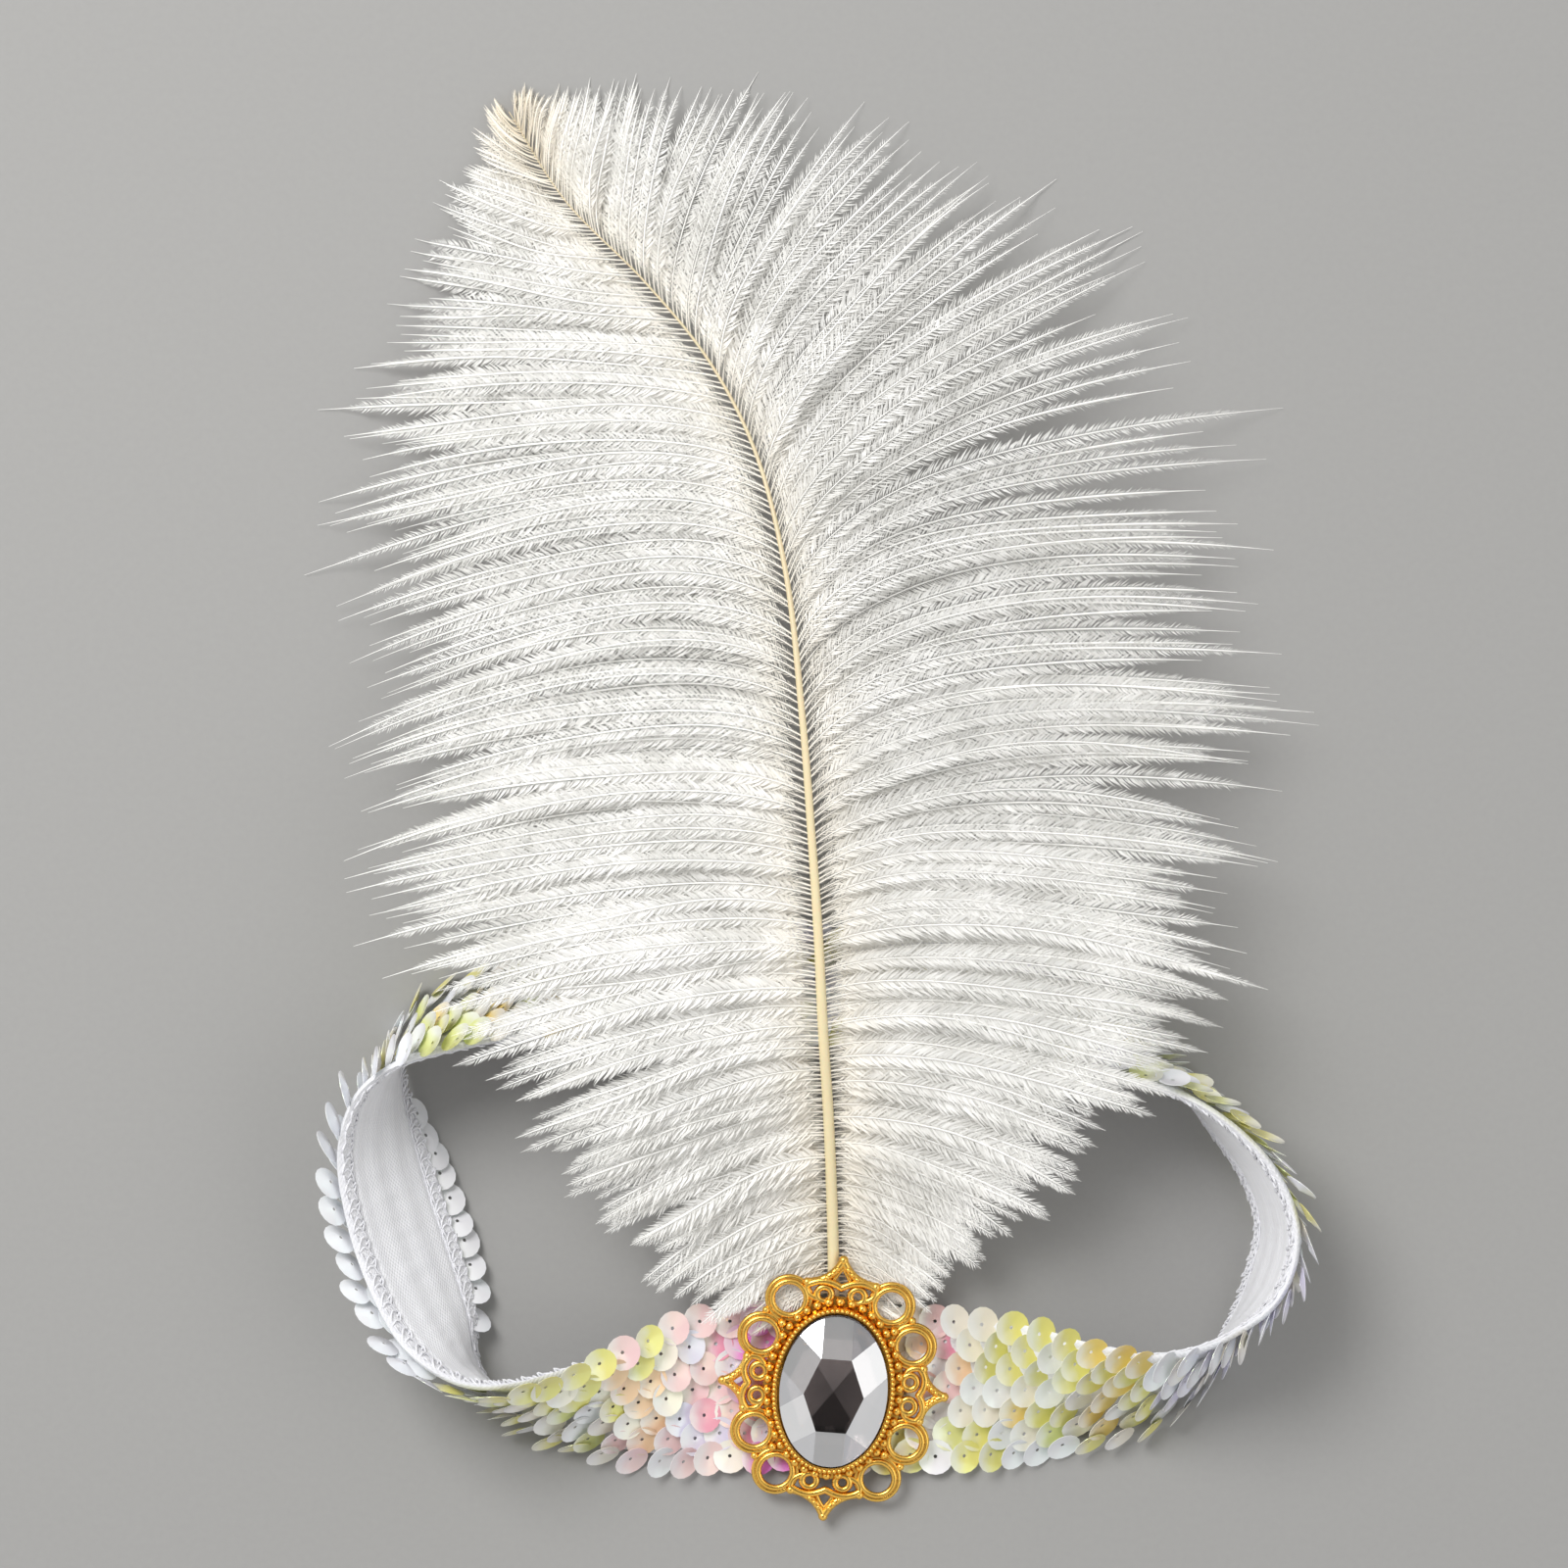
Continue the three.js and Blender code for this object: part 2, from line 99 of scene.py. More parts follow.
class Tree:
    def __init__(self, nodeTree):
        self.nodeTree = nodeTree

    def node(self, kind, settings={}, sockets={}):
        made = self.nodeTree.nodes.new(kind)
        for name, value in settings.items():
            if name == "stops":
                for i, (place, colour) in enumerate(value):
                    elements = made.color_ramp.elements
                    stop = elements[i] if i < len(elements) else elements.new(place)
                    stop.position = place
                    stop.color = (*colour, 1)
            else:
                setattr(made, name, value)
        return self.fill(made, sockets)

    def fill(self, made, sockets):
        for key, value in sockets.items():
            if isinstance(key, int):
                socket = made.inputs[key]
            else:
                socket = next(s for s in made.inputs if s.name == key and not s.is_unavailable)
            if isinstance(value, Wire):
                self.nodeTree.links.new(value.socket, socket)
            else:
                socket.default_value = value
        outputs = [out for out in made.outputs if not out.is_unavailable]
        return Wire(self, outputs[0]) if outputs else None

    def attribute(self, name):
        return self.node("ShaderNodeAttribute", {"attribute_name": name})

    def stored(self, name, kind="FLOAT"):
        # the same in a tree that makes shapes
        return self.node("GeometryNodeInputNamedAttribute", {"data_type": kind}, {"Name": name})

    def axes(self, vector):
        parts = self.node("ShaderNodeSeparateXYZ", {}, {"Vector": vector})
        return [parts.at(axis) for axis in "XYZ"]

    def aimed(self, axis, vector, pivot="AUTO", rotation=None):
        # a rotation that turns an axis towards a vector
        sockets = {"Vector": vector}
        if rotation:
            sockets["Rotation"] = rotation
        return self.node("FunctionNodeAlignRotationToVector", {"axis": axis, "pivot_axis": pivot}, sockets)

    def blend(self, share, first, second):
        # a colour between two colours
        sockets = {"Factor": share, "A": first, "B": second}
        return self.node("ShaderNodeMix", {"data_type": "RGBA"}, sockets)

    def noise(self, scale, detail=2.0, stretch=(1, 1, 1)):
        place = self.node("ShaderNodeTexCoord").at("Object")
        place = self.node("ShaderNodeMapping", {}, {"Vector": place, "Scale": stretch})
        return self.node("ShaderNodeTexNoise", {}, {"Vector": place, "Scale": scale, "Detail": detail})

    def bump(self, height, strength, distance):
        sockets = {"Height": height, "Strength": strength, "Distance": distance}
        return self.node("ShaderNodeBump", {}, sockets)


def rgb(red, green, blue):
    # screen values from 0 to 255 as a linear colour
    values = np.array([red, green, blue]) / 255
    linear = np.where(values <= 0.04045, values / 12.92, ((values + 0.055) / 1.055) ** 2.4)
    return (*map(float, linear), 1.0)


def newFinish(name, **fixed):
    # a material with its one shader, and the numbers that are the same all over it
    material = bpy.data.materials.new(name)
    material.use_nodes = True
    tree = Tree(material.node_tree)
    shader = material.node_tree.nodes["Principled BSDF"]
    tree.fill(shader, {key.replace("_", " "): value for key, value in fixed.items()})
    return material, tree, shader


def newGrowth(name, **inputs):
    # an empty Geometry Nodes tree with named inputs
    group = bpy.data.node_groups.new(name, "GeometryNodeTree")
    group.interface.new_socket("Geometry", in_out="OUTPUT", socket_type="NodeSocketGeometry")
    group.interface.new_socket("Geometry", in_out="INPUT", socket_type="NodeSocketGeometry")
    for key, kind in inputs.items():
        group.interface.new_socket(key, in_out="INPUT", socket_type="NodeSocket" + kind)
    tree = Tree(group)
    return tree, tree.node("NodeGroupInput")


def endGrowth(tree, geometry, finish):
    whole = tree.node("GeometryNodeRealizeInstances", {}, {"Geometry": geometry})
    done = tree.node("GeometryNodeSetMaterial", {}, {"Geometry": whole, "Material": finish})
    tree.node("NodeGroupOutput", {}, {"Geometry": done})
    return tree.nodeTree


# Meshes

def meshOf(name, points, edges=(), faces=(), **attributes):
    # points in millimetres from the middle of the brooch
    mesh = bpy.data.meshes.new(name)
    places = np.asarray(points, float) * mm + broochMiddle
    mesh.from_pydata(places.tolist(), list(edges), list(faces))
    addAttributes(mesh, attributes)
    return mesh


def addAttributes(mesh, attributes):
    kinds = {1: ("FLOAT", "value"), 3: ("FLOAT_VECTOR", "vector"), 4: ("FLOAT_COLOR", "color")}
    for name, values in attributes.items():
        values = np.asarray(values, float)
        kind, field = kinds[1 if values.ndim == 1 else values.shape[1]]
        mesh.attributes.new(name, kind, "POINT").data.foreach_set(field, values.ravel())


def linesOf(name, lines, isClosed=False, **attributes):
    # many lines of points as one mesh of edges, with values for each point
    edges = []
    start = 0
    for line in lines:
        count = len(line)
        last = count if isClosed else count - 1
        edges += [(start + i, start + (i + 1) % count) for i in range(last)]
        start += count
    values = {key: np.concatenate(value) for key, value in attributes.items()}
    return meshOf(name, np.concatenate(lines), edges, **values)


def skinFaces(ringCount, pointCount, isLoop, isTube=True):
    # quads over rings of points
    faces = []
    for i in range(ringCount if isLoop else ringCount - 1):
        here, there = i * pointCount, (i + 1) % ringCount * pointCount
        for j in range(pointCount if isTube else pointCount - 1):
            k = (j + 1) % pointCount
            faces.append((here + j, there + j, there + k, here + k))
    return faces


def grown(name, source, nodeTree, **inputs):
    # runs a tree on a source mesh and keeps the result as a plain mesh
    holder = bpy.data.objects.new(name + "Source", source)
    bpy.context.scene.collection.objects.link(holder)
    modifier = holder.modifiers.new("grow", "NODES")
    modifier.node_group = nodeTree
    for item in nodeTree.interface.items_tree:
        if item.in_out == "INPUT" and item.name in inputs:
            modifier[item.identifier] = inputs[item.name]
    depsgraph = bpy.context.evaluated_depsgraph_get()
    mesh = bpy.data.meshes.new_from_object(
        holder.evaluated_get(depsgraph), preserve_all_data_layers=True, depsgraph=depsgraph
    )
    mesh.name = name
    holder.modifiers.remove(modifier)
    bpy.data.objects.remove(holder)
    for spent in ("facing", "heading", "size", "girth", "fluff"):
        if spent in mesh.attributes:
            mesh.attributes.remove(mesh.attributes[spent])
    return mesh


def shapeOf(name, mesh):
    # an object that trees copy, kept out of the scene
    return bpy.data.objects.new(name, mesh)


def joined(name, meshes, finish):
    whole = bmesh.new()
    for mesh in meshes:
        whole.from_mesh(mesh)
    mesh = bpy.data.meshes.new(name)
    whole.to_mesh(mesh)
    whole.free()
    mesh.materials.append(finish)
    return mesh


def tidied(mesh, smoothBelow, finish=None):
    # outward faces, merged doubles, and smooth shading except at edges sharper than the angle
    work = bmesh.new()
    work.from_mesh(mesh)
    bmesh.ops.remove_doubles(work, verts=work.verts, dist=1e-7)
    bmesh.ops.recalc_face_normals(work, faces=work.faces)
    work.to_mesh(mesh)
    work.free()
    mesh.shade_smooth()
    mesh.set_sharp_from_angle(angle=math.radians(smoothBelow))
    if finish:
        mesh.materials.append(finish)
    return mesh


def addPiece(name, mesh, slot, *nodes):
    mesh.name = name
    piece = bpy.data.objects.new(name, mesh)
    bpy.context.scene.collection.objects.link(piece)
    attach(piece, "root")
    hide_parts(*nodes)
    mesh.calc_loop_triangles()
    print(name, len(mesh.loop_triangles), "triangles")
    return piece


def evenPath(rows, isClosed, count):
    # a smooth line through the rows, cut into even steps, with its direction at each
    rows = np.asarray(rows, float)
    if isClosed:
        ends = np.vstack([rows[-1], rows, rows[:2]])
    else:
        ends = np.vstack([2 * rows[0] - rows[1], rows, 2 * rows[-1] - rows[-2]])
    step = np.linspace(0, 1, 50, endpoint=False)[:, None]  # from one row to the next
    fine = []
    for a, b, c, d in zip(ends[:-3], ends[1:-2], ends[2:-1], ends[3:]):
        before, here, after = (math.sqrt(np.linalg.norm(q - p)) for p, q in ((a, b), (b, c), (c, d)))
        leave = ((b - a) / before - (c - a) / (before + here) + (c - b) / here) * here
        arrive = ((c - b) / here - (d - b) / (here + after) + (d - c) / after) * here
        bend = -3 * b + 3 * c - 2 * leave - arrive
        fine.append(b + leave * step + bend * step**2 + (2 * b - 2 * c + leave + arrive) * step**3)
    fine = np.vstack(fine + [rows[:1] if isClosed else rows[-1:]])
    length = lengthAlong(fine)
    marks = np.linspace(0, length[-1], count, endpoint=not isClosed)
    path = sampled(fine, length, marks)
    if isClosed:
        ways = np.roll(path, -1, axis=0) - np.roll(path, 1, axis=0)
    else:
        ways = np.gradient(path, axis=0)
    return path, ways, length[-1]


def lengthAlong(points):
    return np.concatenate([[0], np.cumsum(np.linalg.norm(np.diff(points, axis=0), axis=1))])


def sampled(table, marks, shares, period=None):
    # the columns of a table, whose rows lie at the marks, at other places
    return np.stack([np.interp(shares, marks, column, period=period) for column in table.T], axis=-1)


def unit(vectors):
    return vectors / np.linalg.norm(vectors, axis=-1, keepdims=True)


def mixed(start, end, share):
    return start + (end - start) * share


def eased(values, start, end):
    share = np.clip((values - start) / (end - start), 0, 1)
    return share * share * (3 - 2 * share)


# Camera, light and floor

studio = {
    "cameraOver": (-8.0, 98.0),
    "cameraHeight": 800.0,
    "viewWidth": 256.0,  # millimetres across the picture at the floor
    "sensor": 36.0,
    "lights": [  # name, place, size in metres and watts
        ("key", (-420, 520, 820), 0.5, 7.6),
        ("fill", (560, -60, 620), 0.6, 0.8),
    ],
    "lightAim": (0, 95, 0),
    "floor": rgb(160, 159, 157),
    "floorSpeck": 0.94,  # the darker grain of the floor
    "floorHalf": 3.0,  # metres
    "skyLow": 0.74,
    "skyHigh": 0.06,  # straight overhead, where the camera keeps light out
    "skyTurn": (0.82, 0.975),
}


def modelPoint(x, y, z):
    return Vector(np.array([x, y, z]) * mm + broochMiddle)


def addCamera():
    data = bpy.data.cameras.new("camera")
    camera = bpy.data.objects.new("camera", data)
    data.sensor_width = studio["sensor"]
    data.lens = studio["sensor"] * studio["cameraHeight"] / studio["viewWidth"]
    data.clip_start = 0.01
    camera.location = modelPoint(*studio["cameraOver"], studio["cameraHeight"])
    bpy.context.scene.collection.objects.link(camera)
    bpy.context.scene.camera = camera


def addLight(name, place, size, watts):
    data = bpy.data.lights.new(name, "AREA")
    data.shape = "DISK"
    data.size = size
    data.energy = watts
    light = bpy.data.objects.new(name, data)
    light.location = modelPoint(*place)
    aim = modelPoint(*studio["lightAim"]) - light.location
    light.rotation_euler = aim.to_track_quat("-Z", "Y").to_euler()
    bpy.context.scene.collection.objects.link(light)


def addFloor():
    finish, tree, shader = newFinish("floorPaint", Specular_IOR_Level=0.2)
    grain = tree.noise(900.0, 3.0)
    speck = (*(studio["floorSpeck"] * c for c in studio["floor"][:3]), 1)
    tree.fill(shader, {
        "Base Color": tree.blend(grain, studio["floor"], speck),
        "Roughness": 0.75 + 0.1 * grain,
    })
    side = studio["floorHalf"]
    corners = [(-side, -side, 0), (side, -side, 0), (side, side, 0), (-side, side, 0)]
    mesh = bpy.data.meshes.new("floor")
    mesh.from_pydata(corners, [], [(0, 1, 2, 3)])
    mesh.materials.append(finish)
    floor = bpy.data.objects.new("floor", mesh)
    bpy.context.scene.collection.objects.link(floor)


def addSky():
    world = bpy.data.worlds.new("sky")
    world.use_nodes = True
    bpy.context.scene.world = world
    tree = Tree(world.node_tree)
    rise = tree.axes(tree.node("ShaderNodeTexCoord").at("Generated"))[2]
    grey = [(0.0, (studio["skyLow"],) * 3), (1.0, (studio["skyHigh"],) * 3)]
    colour = tree.node("ShaderNodeValToRGB", {"stops": grey}, {"Fac": rise.between(*studio["skyTurn"])})
    tree.fill(world.node_tree.nodes["Background"], {"Color": colour, "Strength": 1.0})


addCamera()
for row in studio["lights"]:
    addLight(*row)
addFloor()
addSky()
bpy.context.scene.view_settings.view_transform = "Standard"
print("camera, lights and floor placed")


# Trees that several pieces share

def tubes(tree, line, sides):
    # a round wire along every line, as thick as its girth
    section = tree.node("GeometryNodeCurvePrimitiveCircle", {}, {"Resolution": sides, "Radius": 1.0})
    sockets = {"Curve": line, "Profile Curve": section, "Scale": tree.stored("girth"), "Fill Caps": True}
    return tree.node("GeometryNodeCurveToMesh", {}, sockets)


def wireGrowth():
    # wires along every line of edges
    tree, given = newGrowth("wires", Sides="Int", Finish="Material")
    line = tree.node("GeometryNodeMeshToCurve", {}, {"Mesh": given.at("Geometry")})
    return endGrowth(tree, tubes(tree, line, given.at("Sides")), given.at("Finish"))


def scatterGrowth():
    # a copy of a shape on every point, turned to face one way and head another
    tree, given = newGrowth("scatter", Shape="Object", Finish="Material")
    turn = tree.aimed("Z", tree.stored("facing", "FLOAT_VECTOR"))
    turn = tree.aimed("X", tree.stored("heading", "FLOAT_VECTOR"), "Z", turn)
    shape = tree.node("GeometryNodeObjectInfo", {}, {"Object": given.at("Shape")}).at("Geometry")
    copies = tree.node("GeometryNodeInstanceOnPoints", {}, {
        "Points": given.at("Geometry"),
        "Instance": shape,
        "Rotation": turn,
        "Scale": tree.stored("size"),
    })
    return endGrowth(tree, copies, given.at("Finish"))


wires = wireGrowth()
scatter = scatterGrowth()


# Elastic loop

band = {
    "width": 21.5,
    "thickness": 1.2,
    "sections": 520,
    "facePoints": 44,  # across the inner face
    "ribDepth": 0.15,
    "ribPitch": 5.1,
    "ribFade": 1.5,  # the ribs die away this far from the seams
    "seamAt": 7.7,  # from the middle to the seams along the edges
    "seamDepth": 0.28,
    "seamHalf": 0.5,
    "edgeRound": 0.45,
    "edgeRun": 0.9,  # the rounding starts this far from an edge
    "edgeInset": 0.5,
    "edgeLow": -0.1,
    "gather": 0.05,  # small puckers along the loop
    "footReach": 2.4,  # sequins reach this far past the foot of the ribbon
    "footRise": (0.8, 1.6),  # and stand this far out of its outer face
    "weave": (0.85, 0.62),  # pitch along and across
    "ply": 1.24,
    "colour": rgb(240, 240, 242),
    "shade": rgb(224, 224, 229),
}
bandRows = [  # x, y and how far the outer face looks up, in degrees
    (0, -0.5, 90), (-20, -0.6, 90), (-31, -1.4, 65), (-40, -1.7, 42), (-50, -0.8, 22), (-58, 3, -2),
    (-63.4, 11, -32), (-67.6, 20.5, -42), (-70.8, 30.2, -42), (-72.8, 40, -35), (-72.4, 48, -18),
    (-69.4, 54.5, 6), (-63.5, 58.8, 20), (-52, 61.8, 24), (-28, 64.5, 38), (0, 64.5, 42), (28, 60.5, 34),
    (46, 54, 14), (55.5, 49, 3), (62.6, 42.5, -7), (68.4, 35, -11), (71.2, 26.5, -12), (69, 17.5, -10),
    (64, 10.4, 4), (58, 4.8, 20), (50, 1.2, 34), (40, 0.4, 50), (29, 0.2, 75), (18, -0.5, 90),
]
leanScale = 100
bandPath, bandWays, bandLength = evenPath([(x, y, lean / leanScale) for x, y, lean in bandRows], True, 1600)


def bandFrames(shares):
    # middle of the ribbon, and the ways along it, across it from foot to rim, and out of its outer face
    marks = np.arange(len(bandPath)) / len(bandPath)
    path = sampled(bandPath, marks, shares, period=1)
    ways = sampled(bandWays[:, :2], marks, shares, period=1)
    along = np.column_stack([unit(ways), np.zeros(len(ways))])
    lean = np.radians(np.minimum(90, path[:, 2] * leanScale))[:, None]
    away = np.column_stack([-along[:, 1], along[:, 0], np.zeros(len(along))])
    upward = np.array([0.0, 0.0, 1.0])
    across = upward * np.cos(lean) - away * np.sin(lean)
    outward = away * np.cos(lean) + upward * np.sin(lean)
    half, face = band["width"] / 2, band["thickness"] / 2
    corners = [(-half, -face), (half, -face)]
    corners += [(-half - band["footReach"], face + rise) for rise in band["footRise"]]
    lowest = np.min([across[:, 2] * v + outward[:, 2] * h for v, h in corners], axis=0)
    middle = np.column_stack([path[:, :2], -lowest])
    return middle, along, across, outward


def elasticFinish():
    finish, tree, shader = newFinish("whiteElastic", Sheen_Weight=0.35, Sheen_Roughness=0.4)
    along = tree.attribute("along").at("Fac")
    across = tree.attribute("across").at("Fac")
    cross = along.waves(band["weave"][0]) * across.waves(band["weave"][1])
    soft = tree.noise(260.0, 4.0)
    ply = across.waves(band["ply"]) * 0.5 + 0.5
    tree.fill(shader, {
        "Base Color": tree.blend(soft * 0.5 + ply * 0.25, band["colour"], band["shade"]),
        "Roughness": 0.7 + 0.2 * soft,
        "Normal": tree.bump(cross * 0.35 + soft, 0.35, 0.0003),
    })
    return finish


def makeElastic(finish):
    shares = np.arange(band["sections"]) / band["sections"]
    middle, along, across, outward = bandFrames(shares)
    half, face = band["width"] / 2, band["thickness"] / 2
    v = np.linspace(-half, half, band["facePoints"])
    ribs = band["ribDepth"] * np.cos(2 * np.pi * v / band["ribPitch"])
    ribs = ribs * eased(band["seamAt"] - np.abs(v), 0, band["ribFade"])
    seams = band["seamDepth"] * np.exp(-(((np.abs(v) - band["seamAt"]) / band["seamHalf"]) ** 2))
    rounding = band["edgeRound"] * eased(np.abs(v), half - band["edgeRun"], half)
    inner = -face + ribs * 0.5 + seams + rounding
    flat, edge = half - band["edgeInset"], band["edgeLow"]
    outer = np.array([(half, edge), (flat, face), (0, face), (-flat, face), (-half, edge)])
    profile = np.vstack([outer, np.column_stack([v, inner])])
    mark = shares * bandLength
    rings = []
    isInner = np.arange(len(profile)) >= len(outer)
    isGathered = isInner & (np.abs(profile[:, 0]) < half - 1)
    for i in range(len(shares)):
        pucker = band["gather"] * (  # two slow waves that cross
            math.sin(mark[i] * 1.9 + 0.9 * math.sin(mark[i] * 0.37)) * np.cos(profile[:, 0] * 0.32)
            + 0.6 * math.sin(mark[i] * 0.83) * np.sin(profile[:, 0] * 0.55 + mark[i] * 0.2)
        )
        lift = profile[:, 1] + np.where(isGathered, pucker, 0)
        rings.append(middle[i] + profile[:, :1] * across[i] + lift[:, None] * outward[i])
    rings = np.array(rings)
    rings[..., 2] = np.maximum(rings[..., 2], 0)  # lies on the floor
    count = len(profile)
    mesh = meshOf(
        "elastic", rings.reshape(-1, 3), (), skinFaces(len(rings), count, True),
        along=np.repeat(mark, count), across=np.tile(profile[:, 0], len(rings)),
    )
    return tidied(mesh, 60, finish)


thread = {
    "steps": 1500,
    "pitch": 3.0,  # of the loops along the edges
    "from": 9.0,  # the loops swing to either side of this
    "swing": 1.25,
    "sway": 0.7,  # along the elastic
    "under": 0.6,  # below the middle of the elastic
    "dip": 0.2,
    "girth": 0.2,
    "floor": 0.25,  # lowest that a loop lies
    "cordUnder": 0.5,
    "cordWander": 0.06,
    "cordGirth": 0.16,
    "cordFloor": 0.2,
    "colour": rgb(240, 240, 242),
    "shade": rgb(222, 222, 228),
}


def makeThread(finish):
    # looped edging along both edges of the inner face, and the cords that hold the seams
    shares = np.linspace(0, 1, thread["steps"], endpoint=False)
    middle, along, across, outward = bandFrames(shares)
    turn = 2 * np.pi * round(bandLength / thread["pitch"]) * shares
    lines, girths = [], []

    def addLine(line, floor, girth):
        line[:, 2] = np.maximum(line[:, 2], floor)
        lines.append(line)
        girths.append(np.full(len(shares), girth * mm))

    for side in (-1, 1):
        for phase in (0.0, np.pi):
            v = side * (thread["from"] + thread["swing"] * np.sin(turn + phase))
            h = -thread["under"] - thread["dip"] * np.cos(2 * turn + phase)
            sway = thread["sway"] * np.cos(turn * 2 + phase)
            line = middle + v[:, None] * across + h[:, None] * outward + sway[:, None] * along
            addLine(line, thread["floor"], thread["girth"])
        seam = side * (band["seamAt"] + thread["cordWander"] * np.sin(turn * 1.5))
        line = middle + seam[:, None] * across - thread["cordUnder"] * outward
        addLine(line, thread["cordFloor"], thread["cordGirth"])
    source = linesOf("thread", lines, True, girth=girths)
    return grown("thread", source, wires, Sides=4, Finish=finish)


def threadFinish():
    finish, tree, shader = newFinish("whiteThread", Sheen_Weight=0.2)
    soft = tree.noise(1500.0, 2.0)
    tree.fill(shader, {
        "Base Color": tree.blend(soft, thread["colour"], thread["shade"]),
        "Roughness": 0.55 + 0.2 * soft,
    })
    return finish


elastic = addPiece("elasticLoop", makeElastic(elasticFinish()), "elastic", "elastic_band")
addPiece("edgeThread", makeThread(threadFinish()), "elastic", "elastic_band")


# Sequins

sequins = {
    "seed": 11,
    "round": 86,  # discs in each row round the loop
    "rows": 7,
    "rowPitch": 3.7,
    "stray": 0.09,  # shares of a disc's room along the row
    "rowStray": 0.35,
    "radius": 2.85,
    "sizes": (0.96, 1.03),
    "hole": 0.3,
    "cup": 0.5,  # how deep the middle lies under the rim
    "film": 0.07,
    "sides": 16,
    "lean": 26.0,  # degrees that a disc tips along the loop
    "leanSpread": 5.0,
    "leanRange": (3, 38),
    "roll": 1.1,  # degrees that it tips across the loop, for each millimetre from the middle
    "rollSpread": 5,
    "lift": 0.35,
    "liftSpread": 0.3,
    "pressedHalf": 19.0,  # the brooch presses the discs flat this far to either side
    "pressedLean": 6.0,
    "pressedRoll": 0.3,
    "edgeFrom": -0.3,  # foot discs change where the outer face looks down more than this
    "edgeOut": 1.5,  # there they stand out this far past the foot
    "edgeRise": 0.4,  # and lie this much closer to the elastic
    "floorGap": 0.05,
    "tintSpread": (0.94, 1.04),
    # pearl: the white of a painted sheen on one side of each disc
    "pearl": rgb(250, 248, 250),
}
sequinTints = {
    "pearl": rgb(247, 245, 249), "lilac": rgb(232, 225, 245), "cream": rgb(248, 238, 224),
    "blush": rgb(248, 210, 212), "pink": rgb(246, 160, 188), "magenta": rgb(238, 134, 224),
    "peach": rgb(250, 208, 172), "lemon": rgb(238, 228, 136), "lime": rgb(226, 226, 150),
    "gold": rgb(244, 212, 126),
}
sequinZones = [  # how far round the loop from the front towards the left, and the tints found up to there
    (8, "pink blush pearl"), (16, "magenta magenta pink lilac"), (27, "blush blush pink lilac cream blush"),
    (39, "peach cream blush lemon pearl peach"), (62, "lemon lemon lime cream pearl"), (112, "pearl"),
    (150, "lemon gold pearl pearl lime cream"), (235, "pearl lemon pearl lilac"),
    (272, "lime lemon pearl pearl"), (306, "pearl lilac pearl cream"),
    (334, "lemon lemon gold pearl lemon cream"), (345, "peach pink blush cream pearl"),
    (357, "cream cream pearl blush"), (400, "pink blush lime"),
]
footZone = {  # lowest rows beside the brooch, on the right
    "from": 318,
    "until": 357,
    "below": -5.5,
    "tints": "lemon lime lemon pearl cream",
}


def sequinFinish():
    film = {"Thin_Film_Thickness": 410.0, "Thin_Film_IOR": 1.7}
    finish, tree, shader = newFinish("iridescentFilm", Coat_Roughness=0.05, **film)
    # painted sheen: each disc turns towards pearl white on the side it heads to
    sheenAcross = tree.attribute("sheenAcross").at("Fac")
    tint = tree.attribute("tint").at("Color")
    soft = tree.noise(420.0, 1.0)
    share = (sheenAcross + soft * 0.9 - 0.45).between(-0.35, 0.85)
    tree.fill(shader, {
        "Base Color": tree.blend(share * 0.7, tint, sequins["pearl"]),
        "Roughness": 0.16 + 0.1 * soft,
        "Coat Weight": 0.4 + 0.4 * soft,
    })
    return finish


def sequinShape():
    # a cupped disc of film with a hole for the thread
    radius, hole, cup, film = (sequins[key] for key in ("radius", "hole", "cup", "film"))
    profile = [(hole, -cup), (0.55 * radius, -0.62 * cup), (radius, 0.0)]  # upper face
    profile += [(radius, -film), (hole, -cup - film)]
    points = []
    for i in range(sequins["sides"]):
        angle = 2 * np.pi * i / sequins["sides"]
        points += [(r * math.cos(angle), r * math.sin(angle), z) for r, z in profile]
    points = np.array(points)
    mesh = bpy.data.meshes.new("sequin")
    mesh.from_pydata((points * mm).tolist(), [], skinFaces(sequins["sides"], len(profile), True))
    # runs across the disc from side to side, for the painted sheen
    addAttributes(mesh, {"sheenAcross": points[:, 0] / radius})
    return shapeOf("sequin", tidied(mesh, 50))


def sequinTint(rng, mark, v):
    # a tint from the zone that a disc lies in
    names = next(names for until, names in sequinZones if mark < until)
    if v < footZone["below"] and footZone["from"] < mark < footZone["until"]:
        names = footZone["tints"]
    tint = np.array(sequinTints[rng.choice(names.split())])
    return np.clip(tint * rng.uniform(*sequins["tintSpread"]), 0, 1)


